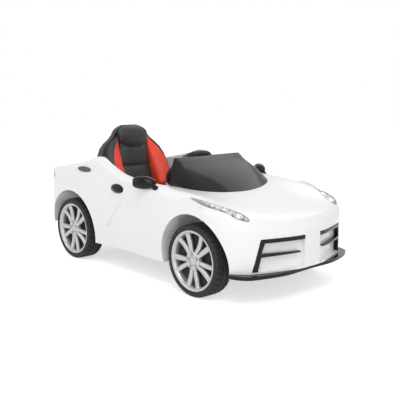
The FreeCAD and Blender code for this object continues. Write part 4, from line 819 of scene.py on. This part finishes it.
class RIDEON_OT_wheels(bpy.types.Operator):
    """Tyres with their tread and wheel covers with their spokes"""

    bl_idname = "rideon.wheels"
    bl_label = "Wheels"

    def tyre(self, sizes):
        profile = metres(TYRE_WALL_IN + TYRE_TREAD + TYRE_WALL_OUT)
        first = len(TYRE_WALL_IN)
        last = first + len(TYRE_TREAD)

        def groove(index, step):
            across = profile[index][0] - TYRE_MIDDLE
            if not first - 1 <= index <= last or abs(across) < PLAIN_HALF:
                return 0.0
            lag = round(BLOCK_STEPS * GROOVE_SKEW * (abs(across) - PLAIN_HALF))
            phase = (step + (lag if across > 0 else -lag)) % BLOCK_STEPS
            deep = 0.6 if index in (first - 1, last) else 1.0
            return -deep * sizes.tread_depth if phase in (0, 1) else 0.0

        return lathe(profile, BLOCK_STEPS * sizes.tread_count, groove)

    def spoke(self, table, turn):
        dense = []
        for row, after in zip(table, table[1:]):
            dense.append(row)
            dense.append([(first + second) / 2 for first, second in zip(row, after)])
        dense.append(table[-1])
        rings = []
        for share, degrees, half, front in dense:
            radius = SPOKE_FOOT + share * SPOKE_LENGTH
            angle = turn + math.radians(degrees)
            out = Vector((math.cos(angle), 0, math.sin(angle)))
            over = Vector((-math.sin(angle), 0, math.cos(angle)))
            section = []
            for across, back in SPOKE_SECTION:
                spot = radius * out + across * half * over
                section.append(0.001 * Vector((spot.x, front - back, spot.z)))
            rings.append(section)
        return loft(rings)

    def nut(self, turn, section):
        """Small round piece on the ring of nuts, from a section of places and radii."""
        centre = NUT_RING * Vector((math.cos(turn), 0, math.sin(turn)))
        rings = []
        for place, radius in section:
            rings.append([
                0.001 * (centre + Vector((radius * math.cos(a), place, radius * math.sin(a))))
                for a in (math.radians(20 * number) for number in range(18))
            ])
        return loft(rings)

    def turns(self, start, count):
        """Even turns round the wheel, from a start in degrees."""
        return [math.radians(start + 360 * number / count) for number in range(count)]

    def nuts(self, sizes, section):
        return joined([self.nut(turn, section) for turn in self.turns(NUT_START, sizes.spoke_pairs)])

    def cover(self, sizes):
        rim = lathe(metres(COVER_RIM), 120)
        parts = [rim, lathe(metres(COVER_HUB), 72), self.nuts(sizes, NUT_SECTION)]
        for turn in self.turns(SPOKE_START, sizes.spoke_pairs):
            parts.append(self.spoke(FIRST_SPOKE, turn))
            parts.append(self.spoke(SECOND_SPOKE, turn))
        return joined(parts)

    def execute(self, context):
        sizes = settings().sizes
        colours = settings().colours
        for kind, shape, material, slot in (
            ("tyre_", self.tyre(sizes), tyre_rubber(colours.tyre), "tyre_black"),
            ("hubcap_", self.cover(sizes), silver_paint(colours.wheel), "hub_silver"),
            ("nut_wells_", self.nuts(sizes, WELL_SECTION), plastic("nut_well"), "trim_black"),
        ):
            mesh = None
            for corner in CORNERS:
                name = "dressed_" + kind + corner
                if mesh:
                    item = shown(name, mesh)
                else:
                    item = new_mesh(name, *shape)
                    mesh = item.data
                    mesh.set_sharp_from_angle(angle=SHARP_TURN)
                low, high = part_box("tyre_" + corner)
                left = corner.endswith("left")
                spot = Vector(((low.x + high.x) / 2, low.y if left else high.y, (low.z + high.z) / 2))
                turn = Matrix.Rotation(0 if left else math.pi, 4, "Z")
                item.matrix_world = Matrix.Translation(spot) @ turn
                stands_for = () if kind == "nut_wells_" else (kind + corner,)
                dress(item, "wheel_" + corner, slot, material, *stands_for)
        return {"FINISHED"}


def soft_copy(node, name, voxel):
    """Closed even mesh of a soft solid, as a new piece."""
    item = shown(name, NODES[node].data.copy())
    even = item.modifiers.new("even", "REMESH")
    even.mode = "VOXEL"
    even.voxel_size = voxel
    calm = item.modifiers.new("calm", "SMOOTH")
    calm.factor = 0.5
    calm.iterations = 4
    bake(item)
    return item


def bake(item):
    """Puts what the modifiers make into the mesh and removes them."""
    final = item.evaluated_get(bpy.context.evaluated_depsgraph_get())
    mesh = bpy.data.meshes.new_from_object(final)
    item.modifiers.clear()
    item.data = mesh


# Frames and pressure with which the pads are blown up
STUFF_FRAMES = 20
STUFF_PRESSURE = 4.0


def stuff(item, sewn, most):
    """Blows a pad up like stuffed cloth, held where it is sewn, and caps how far a point moves."""
    rest = [vertex.co.copy() for vertex in item.data.vertices]
    group = item.vertex_groups.new(name="sewn")
    for index, spot in enumerate(rest):
        weight = sewn(spot)
        if weight > 0:
            group.add([index], weight, "REPLACE")
    cloth = item.modifiers.new("cloth", "CLOTH")
    values = cloth.settings
    values.quality = 6
    values.mass = 0.2
    values.tension_stiffness = 12
    values.compression_stiffness = 12
    values.bending_stiffness = 0.4
    values.use_pressure = True
    values.uniform_pressure_force = STUFF_PRESSURE
    values.vertex_group_mass = "sewn"
    values.effector_weights.gravity = 0
    cloth.point_cache.frame_start = 1
    cloth.point_cache.frame_end = STUFF_FRAMES
    scene = bpy.context.scene
    for number in range(1, STUFF_FRAMES + 1):
        scene.frame_set(number)
    bake(item)
    scene.frame_set(1)
    for vertex, spot in zip(item.data.vertices, rest):
        step = vertex.co - spot
        if step.length > most:
            vertex.co = spot + most * step.normalized()


# Seat back: height of its foot and its span, in metres
SEAT_LOW = 0.188
SEAT_SPAN = 0.296
# By share of the span: half widths of the middle panel, its pad and the wings, and the lean of the front
PANEL_EDGE = ((0, 0.0765), (0.25, 0.0765), (1, 0.0636))
PAD_EDGE = (
    (0.82, 0.0663), (0.9, 0.0649), (0.93, 0.0602), (0.955, 0.0513), (0.975, 0.0402), (0.985, 0.032),
)
WING_EDGE = (
    (0, 0.0992), (0.1, 0.1005), (0.25, 0.1018), (0.4, 0.1298), (0.52, 0.1341),
    (0.62, 0.1304), (0.7, 0.1203), (0.76, 0.1052), (0.82, 0.0836),
)
SEAT_LEAN = ((0, 0.3217), (0.3, 0.3497), (0.5, 0.3642), (0.7, 0.3707), (1, 0.3723))
# Thickness of the front plate under the pads
PLATE_DEPTH = 0.013
# By share of the span: part of a bolster's width inside its crest; then the crest's lean and height
CREST_SHARES = (
    (0, 0.93), (0.3, 0.93), (0.4, 0.9), (0.5, 0.86), (0.6, 0.8), (0.7, 0.7), (0.8, 0.5), (0.9, 0.3),
)
CREST_LEAN = 0.22
CREST_HEIGHT = 0.035
# Distances before the plate up to which pads are held, and beyond which seams are pressed in
HELD_DEPTH = 0.012
SEAM_DEPTH = 0.016
# Share of the base pad's height up to which it is held
HELD_SHARE = 0.25
# Radii of cords and threads, reach to each side in which a cord finds its valley, lift of the threads
CORD = 0.0018
HEAD_CORD = 0.0016
CREST_CORD = 0.0014
THREAD = 0.00055
VALLEY_REACH = 0.0032
THREAD_LIFT = Vector((0.0002, 0, 0))
# Pebbles of the covers per metre
PEBBLE = 620.0


def read(table, place):
    """Value of a table of (place, value) pairs, straight between them."""
    return float(np.interp(place, *zip(*table)))


def smile_seam(y):
    """Height of the curved seam under the headrest."""
    return 0.398 + 4.2 * y * y


def waist_seam(y):
    """Height of the straight seam across the back."""
    return 0.3286


# Seams across the back: their heights, depth and width
SEAMS = ((smile_seam, 0.006, 0.004), (waist_seam, 0.005, 0.004))


def level(share):
    """Height at a share of the seat back's span."""
    return SEAT_LOW + share * SEAT_SPAN


def share_at(z):
    """Share of the seat back's span at a height."""
    return (z - SEAT_LOW) / SEAT_SPAN


def held(value):
    """A value kept between 0 and 1."""
    return min(max(value, 0), 1)


class RIDEON_OT_seat(bpy.types.Operator):
    """Stuffed seat pads with seams, piping and stitching"""

    bl_idname = "rideon.seat"
    bl_label = "Seat"

    def pad(self, node, material, slot, most, fill, seams=()):
        """Stuffed pad in place of a solid, swelling by so much at most, with seams pressed into it."""
        item = soft_copy(node, "dressed_" + node, settings().sizes.pad_voxel)
        low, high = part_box(node)

        def sewn(spot):
            if "base" in node:
                edge = (spot.z - low.z) / (high.z - low.z)
                return 1.0 if edge < HELD_SHARE else 0.0
            return 1.0 if self.front(spot) < HELD_DEPTH else 0.0

        stuff(item, sewn, most)
        for seam, depth, width in seams:
            for vertex in item.data.vertices:
                gap = (vertex.co.z - seam(vertex.co.y)) / width
                if abs(gap) < 3 and self.front(vertex.co) > SEAM_DEPTH:
                    vertex.co.x -= depth * math.exp(-gap * gap)
        item.modifiers.new("fine", "SUBSURF").render_levels = 1
        for face in item.data.polygons:
            face.use_smooth = True
        dress(item, "car", slot, material, node)
        return item

    def crest(self, share):
        """Distance of a bolster's crest from the middle, at a share of the back's span."""
        inner = read(PANEL_EDGE, share)
        return inner + read(CREST_SHARES, share) * (read(WING_EDGE, share) - inner)

    def lean(self, item, side):
        """Draws the crest of a bolster outwards."""
        for vertex in item.data.vertices:
            share = share_at(vertex.co.z)
            inner = read(PANEL_EDGE, share)
            width = read(WING_EDGE, share) - inner
            part = held((side * vertex.co.y - inner) / width)
            lift = held(self.front(vertex.co) / CREST_HEIGHT)
            vertex.co.y += side * 4 * CREST_LEAN * lift * part * (1 - part) * width

    def front(self, spot):
        """Distance of a point before the seat back's front plate."""
        return spot.x + read(SEAT_LEAN, share_at(spot.z)) - PLATE_DEPTH

    def on_back(self, tree, y, z):
        """Point on the front of the seat back."""
        return tree.ray_cast(Vector((-0.12, y, z)), -AHEAD)[0]

    def valley(self, tree, path):
        """Path across the seat back laid into the lowest place beside each of its points."""
        spots = []
        for y, z in path:
            hits = [self.on_back(tree, y + step, z) for step in (-VALLEY_REACH, VALLEY_REACH)]
            spots.append(Vector((min(hit.x for hit in hits if hit), y, z)))
        for smoothing in range(4):
            middles = [(a + 2 * b + c) / 4 for a, b, c in zip(spots, spots[1:], spots[2:])]
            spots = [spots[0]] + middles + [spots[-1]]
        return spots

    def piping(self, tree):
        """Cords between the panels of the back, on the bolsters' crests and round the headrest."""
        parts = []
        for side in SIDES.values():
            for edge in (PANEL_EDGE, WING_EDGE):
                path = [(side * read(edge, part), level(part)) for part in np.linspace(0.13, 0.81, 71)]
                parts.append(cord(self.valley(tree, path), CORD))
            crest = [(side * self.crest(part), level(part)) for part in np.linspace(0.16, 0.78, 61)]
            parts.append(cord([self.on_back(tree, *spot) for spot in crest], CREST_CORD))
        rise = [(read(PAD_EDGE, part) + 0.001, level(part)) for part in np.linspace(0.83, 0.975, 31)]
        width, top = rise[-1]
        arch = []
        for turn in np.linspace(0.4, math.pi - 0.4, 9):
            arch.append((width * math.cos(turn), top + 0.0025 * math.sin(turn)))
        path = rise + arch + [(-y, z) for y, z in reversed(rise)]
        parts.append(cord(self.valley(tree, path), HEAD_CORD))
        return joined(parts)

    def threads(self, tree, length):
        """Rows of stitches beside the two cross seams and along the middle panel's edges."""
        rows = []
        for seam, half in ((smile_seam, 0.06), (waist_seam, 0.062)):
            count = int(2 * half / length)
            places = [half * (2 * number / count - 1) for number in range(count + 1)]
            for offset in (-0.005, 0.005):
                rows.append([(y, seam(y) + offset) for y in places])
        heights = [0.228 + number * length for number in range(int(0.17 / length))]
        for side in SIDES.values():
            rows.append([(side * (read(PANEL_EDGE, share_at(z)) - 0.007), z) for z in heights])
        paths = [[self.on_back(tree, *spot) + THREAD_LIFT for spot in row] for row in rows]
        return joined([stitches(path, THREAD) for path in paths])

    def base_piping(self, tree):
        """Cord round the top of the base pad."""
        low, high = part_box("seat_base_pad")
        middle = (low + high) / 2
        reach = 0.5 * (high - low) - Vector((0.009, 0.008, 0))
        path = []
        for turn in np.linspace(0, 2 * math.pi, 97):
            x, y = (math.copysign(abs(part) ** 0.35, part) for part in (math.cos(turn), math.sin(turn)))
            path.append(drop(tree, middle.x + reach.x * x, middle.y + reach.y * y)[0])
        return cord(path, CORD, UP)

    def execute(self, context):
        colours = settings().colours
        black = leatherette("black_leatherette", colours.seat, PEBBLE)
        shares = np.linspace(0.06, 0.85, 60)
        line = np.polyfit(level(shares), [self.crest(share) for share in shares], 8)
        red = leatherette("red_leatherette", colours.bolster, PEBBLE, (line, colours.seat))
        pads = [self.pad("seat_back_pad", black, "seat_black", 0.006, 0.7, SEAMS)]
        base = self.pad("seat_base_pad", black, "seat_black", 0.007, 0.7)
        for label, side in SIDES.items():
            pads.append(self.pad("seat_bolster_" + label, red, "seat_red", 0.006, 0.75))
            self.lean(pads[-1], side)
        tree = skin(pads + [NODES["seat_shell"]])
        piping = leatherette("black_piping", colours.seat, 900.0)
        for name, shape, material in (
            ("seat_piping", self.piping(tree), piping),
            ("seat_base_piping", self.base_piping(skin([base])), piping),
            ("seat_threads", self.threads(tree, settings().sizes.stitch), plastic("seat_thread")),
        ):
            dress(new_mesh(name, *shape), "car", "seat_black", material)
        finish_nodes(leatherette("black_shell", colours.seat, 500.0), "seat_shell")
        return {"FINISHED"}


# Local frames, each an origin and three axes: steering wheel, by twelve o'clock, left and its axis
STEERING = (
    Vector((-0.015, 0, 0.34)), (Vector((0.6972, 0, 0.7169)), LEFT, Vector((-0.7169, 0, 0.6972))),
)
# Pedal plate, by forward, left and out
PEDAL = (
    Vector((0.062, -0.066, 0.104)), (Vector((0.9135, 0, 0.4067)), LEFT, Vector((-0.4067, 0, 0.9135))),
)
# Dashboard, by left, out and up
DASH = (Vector((0.1, 0, 0)), (LEFT, -AHEAD, UP))
# Way out of the dashboard in its own frame
OUT = Vector((0, 1, 0))
# Gauges on the dashboard: place across, height, radius
GAUGES = ((0, 0.277, 0.022), (0.0365, 0.284, 0.011), (-0.0365, 0.284, 0.011))
# Places on the dashboard, left, out and up: air outlets, power button, lever
VENTS = ((-0.145, 0, 0.27), (0.145, 0, 0.27))
BUTTON = (0.092, 0, 0.258)
LEVER = (-0.092, 0, 0.258)
# Boxes, each a middle and a size: air outlet's bars and slats, its dark field, plate round the lever
VENT_BARS = (
    ((0, 0.0014, 0), (0.0016, 0.0028, 0.021)),
    ((0, 0.0012, -0.0115), (0.05, 0.0034, 0.0026)),
    ((-0.0237, 0.0012, 0), (0.0026, 0.0034, 0.0206)),
    ((0, 0.0012, 0.0115), (0.05, 0.0034, 0.0026)),
    ((0.0237, 0.0012, 0), (0.0026, 0.0034, 0.0206)),
) + tuple(((0, 0.0009, -0.0066 + 0.0044 * number), (0.045, 0.0024, 0.0011)) for number in range(4))
VENT_FIELD = (((0, -0.0001, 0), (0.045, 0.0008, 0.0206)),)
GATE_BARS = (
    ((0, 0.0004, -0.0158), (0.0206, 0.0014, 0.0044)),
    ((-0.0081, 0.0004, 0), (0.0044, 0.0014, 0.0272)),
    ((0, 0.0004, 0.0158), (0.0206, 0.0014, 0.0044)),
    ((0.0081, 0.0004, 0), (0.0044, 0.0014, 0.0272)),
)
# Boxes on the spokes of the steering wheel, and ribs of the pedal
INLAYS = (
    ((-0.053, 0, -0.0036), (0.026, 0.01, 0.0012)),
    ((-0.0085, 0.051, -0.0036), (0.003, 0.04, 0.0012)),
    ((0.0085, 0.051, -0.0036), (0.003, 0.04, 0.0012)),
    ((-0.0085, -0.051, -0.0036), (0.003, 0.04, 0.0012)),
    ((0.0085, -0.051, -0.0036), (0.003, 0.04, 0.0012)),
)
PEDAL_RIBS = tuple(((0.014 + 0.006 * number, 0, 0.0063), (0.003, 0.034, 0.0014)) for number in range(8))
# Sleeves on the rim: rim's radius, starts, turn in degrees, steps, then radius, waves and end radius
RIM_RADIUS = 0.082
SLEEVE_STARTS = (20, -70)
SLEEVE_TURN = 50
SLEEVE_STEPS = 40
SLEEVE_RADIUS = 0.0108
SLEEVE_WAVE = 0.0005
SLEEVE_END = 0.0101
# Sewing on the rim: radius, lift, first and last degrees, count, then radius of the thread
SEWING = (0.0745, 0.0069, 100, 260, 46)
SEWING_THREAD = 0.0006
# Rounding of the pedal ribs' edges
RIB_EDGE = 0.0004


class RIDEON_OT_cabin(bpy.types.Operator):
    """Cabin liner, dashboard with gauges and vents, steering wheel, pedal and switches"""

    bl_idname = "rideon.cabin"
    bl_label = "Cabin"

    def arc(self, radius, lift, first, last, count):
        """Points round the steering wheel between two angles from twelve o'clock."""
        turns = [math.radians(first + (last - first) * number / count) for number in range(count + 1)]
        return [Vector((radius * math.cos(turn), radius * math.sin(turn), lift)) for turn in turns]

    def steering(self, grip, silver, thread):
        """Sleeves, stitching and spoke inlays of the steering wheel."""
        waves = [math.cos(number * math.pi / 5) for number in range(SLEEVE_STEPS + 1)]
        radii = [SLEEVE_RADIUS + SLEEVE_WAVE * wave for wave in waves]
        radii[0] = SLEEVE_END
        radii[-1] = SLEEVE_END
        sleeves = []
        for first in SLEEVE_STARTS:
            path = self.arc(RIM_RADIUS, 0, first, first + SLEEVE_TURN, SLEEVE_STEPS)
            sleeves.append(tube(path, radii, 20, UP))
        sewing = stitches(self.arc(*SEWING), SEWING_THREAD, UP)
        for name, shape, slot, material in (
            ("steering_sleeves", joined(sleeves), "grip_black", grip),
            ("steering_inlays", bricks(INLAYS), "hub_silver", silver),
            ("steering_sewing", sewing, "seat_red", thread),
        ):
            dress(new_mesh(name, *framed(shape, *STEERING)), "steering", slot, material)

    def gauge(self, y, z, radius):
        """Bezel, face, marks and needle of one gauge."""
        spot = Vector((y, 0, z))
        bezel = placed(ring(0.88 * radius, radius, -0.0005, 0.003), spot, OUT)
        face = placed(ring(CLOSED, 0.9 * radius, -0.0005, 0.0008), spot, OUT)
        marks = []
        for number in range(11):
            turn = math.radians(225 - 27 * number)
            way = Vector((math.cos(turn), 0, math.sin(turn)))
            start = 0.6 if number % 5 == 0 else 0.7
            ends = [spot + share * radius * way + 0.0009 * OUT for share in (start, 0.82)]
            marks.append(tube(ends, (0.024 * radius, 0.024 * radius), 6, OUT))
        way = Vector((-0.8, 0, 0.6))
        ends = [spot + share * radius * way + 0.0016 * OUT for share in (-0.14, 0.66)]
        needle = tube(ends, (0.045 * radius, 0.016 * radius), 6, OUT)
        hub = placed(ring(CLOSED, 0.11 * radius, 0.0005, 0.0026), spot, OUT)
        return bezel, face, joined(marks), joined([needle, hub])

    def dashboard(self, silver, black, dark, white, red):
        """Gauges, air outlets, lever plate and button bezel on the dashboard's face."""
        gauges = [self.gauge(*place) for place in GAUGES]
        bezels, faces, marks, needles = (joined(parts) for parts in zip(*gauges))
        vents = joined([bricks(VENT_BARS, spot) for spot in VENTS])
        fields = joined([bricks(VENT_FIELD, spot) for spot in VENTS])
        button = placed(ring(0.0098, 0.013, -0.0005, 0.0016), BUTTON, OUT)
        for name, shape, slot, material, round_off in (
            ("gauge_bezels", joined([bezels, button]), "hub_silver", silver, 0),
            ("gauge_faces", faces, "inside_black", dark, 0),
            ("gauge_marks", marks, "inside_white", white, 0),
            ("gauge_needles", needles, "button_red", red, 0),
            ("dash_vents", vents, "inside_black", black, 0.0004),
            ("vent_fields", fields, "inside_black", dark, 0),
            ("lever_gate", bricks(GATE_BARS, LEVER), "hub_silver", silver, 0.0003),
        ):
            item = new_mesh(name, *framed(shape, *DASH), smooth=not round_off)
            dress(item, "car", slot, material)
            if round_off:
                eased(item, round_off)

    def execute(self, context):
        colours = settings().colours
        liner = moulded("cabin_white", colours.cabin, rough=0.4, grain=600.0, depth=0.0006)
        black = plastic("cabin_black")
        grip = plastic("soft_grip")
        red = plastic("switch_red")
        silver = metal("cabin_silver")
        finish_nodes(liner, "cockpit_tub")
        finish_nodes(black, "dashboard", "pedal_base", "charge_socket", "column_bush")
        finish_nodes(grip, "steering_wheel", "accelerator_pedal", "direction_lever")
        finish_nodes(plastic("horn_cover"), "horn_pad")
        finish_nodes(red, "horn_button_left", "horn_button_right", "power_button")
        self.steering(plastic("sleeve_grip"), silver, plastic("wheel_thread"))
        self.dashboard(silver, black, plastic("dial_black"), plastic("dial_marks"), red)
        pedal = new_mesh("pedal_ribs", *framed(bricks(PEDAL_RIBS), *PEDAL), smooth=False)
        eased(dress(pedal, "pedal", "grip_black", grip), RIB_EDGE)
        return {"FINISHED"}


class RIDEON_OT_running_gear(bpy.types.Operator):
    """Finishes of the steering gear, axles and drive under the floor"""

    bl_idname = "rideon.running_gear"
    bl_label = "Running gear"

    def execute(self, context):
        finish_nodes(
            metal("zinc_steel"), "body_screws", "steering_column", "steering_bracket", "front_axle_beam",
            "knuckle_left", "knuckle_right", "tie_rod", "axle_nut_front_left", "axle_nut_front_right",
            "axle_nuts_rear", "rear_axle", "rear_axle_brackets",
        )
        finish_nodes(plastic("floor_black"), "chassis_tray", "gearbox_case", "drive_sleeve", "battery")
        finish_nodes(metal("motor_case"), "motor")
        return {"FINISHED"}


# Lamps: place, aim, size in metres and power in watts
LAMPS = {
    "key": ((1.7, -1.3, 2.7), (0, 0, 0.2), (1.8, 1.8), 36),
    "fill": ((2.6, -1.7, 0.9), (0.1, 0, 0.3), (1.6, 1.0), 13),
    "back": ((-0.9, 2.2, 2.5), (0.1, 0, 0.3), (2.2, 1.5), 10),
    "side": ((-1.2, -2.7, 1.5), (0, 0, 0.25), (2.0, 1.4), 14),
}
# Strength of the sky's light on the car, and half the width of the floor
SKY_LIGHT = 0.55
FLOOR_HALF = 9


class RIDEON_OT_stage(bpy.types.Operator):
    """Floor, light and camera"""

    bl_idname = "rideon.stage"
    bl_label = "Stage"

    def seen(self, wiring):
        """One for the rays of the camera, of reflections and of clear pieces."""
        camera, glossy, clear = (
            wiring.node("ShaderNodeLightPath", output="Is %s Ray" % kind)
            for kind in ("Camera", "Glossy", "Transmission")
        )
        return (camera + glossy + clear).clipped(0.0, 1.0)

    def floor(self):
        """White floor that keeps the shadow of the car."""
        points = [(FLOOR_HALF * x, FLOOR_HALF * y, 0) for x, y in ((-1, -1), (1, -1), (1, 1), (-1, 1))]
        item = new_mesh("floor", points, [(0, 1, 2, 3)], False)
        finish = Finish(
            "pale_floor", Base_Color=(0.86, 0.86, 0.865, 1.0), Roughness=0.85, Emission_Strength=0.6,
        )
        finish.give(Emission_Color=finish.mix(self.seen(finish), BLACK, WHITE))
        item.data.materials.append(finish.material)

    def sky(self):
        """Plain light from all round, white where it is seen."""
        world = bpy.data.worlds.new("studio")
        bpy.context.scene.world = world
        world.use_nodes = True
        wiring = Wiring(world.node_tree)
        strength = SKY_LIGHT + (1 - SKY_LIGHT) * self.seen(wiring)
        wiring.fill(world.node_tree.nodes["Background"], {"Color": WHITE, "Strength": strength})

    def lamp(self, name, spot, aim, size, power):
        data = bpy.data.lights.new(name, "AREA")
        data.shape = "RECTANGLE"
        data.size, data.size_y = size
        data.energy = power
        item = shown(name, data)
        item.location = spot
        item.rotation_euler = (Vector(aim) - Vector(spot)).to_track_quat("-Z", "Y").to_euler()

    def camera(self, values):
        """Camera at the photograph's place, which looks along the yaw and down by the pitch."""
        data = bpy.data.cameras.new("photo_camera")
        data.lens = values.lens
        data.sensor_width = 36.0
        data.clip_end = 60.0
        item = shown("photo_camera", data)
        right = Vector((math.cos(values.yaw), math.sin(values.yaw), 0))
        level_back = Vector((math.sin(values.yaw), -math.cos(values.yaw), 0))
        back = math.cos(values.pitch) * level_back + math.sin(values.pitch) * UP
        turn = Matrix((right, back.cross(right), back)).transposed().to_4x4()
        item.matrix_world = Matrix.Translation(values.eye) @ turn
        bpy.context.scene.camera = item

    def execute(self, context):
        bpy.context.scene.view_settings.view_transform = "Standard"
        self.floor()
        self.sky()
        for name, lamp in LAMPS.items():
            self.lamp(name, *lamp)
        self.camera(settings().stage)
        return {"FINISHED"}


STEPS = (
    RIDEON_OT_stage, RIDEON_OT_body, RIDEON_OT_lamps, RIDEON_OT_tail, RIDEON_OT_wheels, RIDEON_OT_seat,
    RIDEON_OT_cabin, RIDEON_OT_running_gear,
)


class RIDEON_PT_panel(bpy.types.Panel):
    """Lists the pieces of the ride-on car"""

    bl_idname = "RIDEON_PT_panel"
    bl_label = "Ride-on car"
    bl_space_type = "VIEW_3D"
    bl_region_type = "UI"
    bl_category = "Ride-on car"

    def draw(self, context):
        for step in STEPS:
            self.layout.operator(step.bl_idname)


CLASSES = (RideOnColours, RideOnSizes, RideOnStage, RideOnSettings) + STEPS + (RIDEON_PT_panel,)


def register():
    for item in CLASSES:
        bpy.utils.register_class(item)
    bpy.types.Scene.ride_on = bpy.props.PointerProperty(type=RideOnSettings)


def unregister():
    del bpy.types.Scene.ride_on
    for item in reversed(CLASSES):
        bpy.utils.unregister_class(item)


def main():
    register()
    for step in STEPS:
        group, name = step.bl_idname.split(".")
        getattr(getattr(bpy.ops, group), name)()


if __name__ == "__main__":
    main()
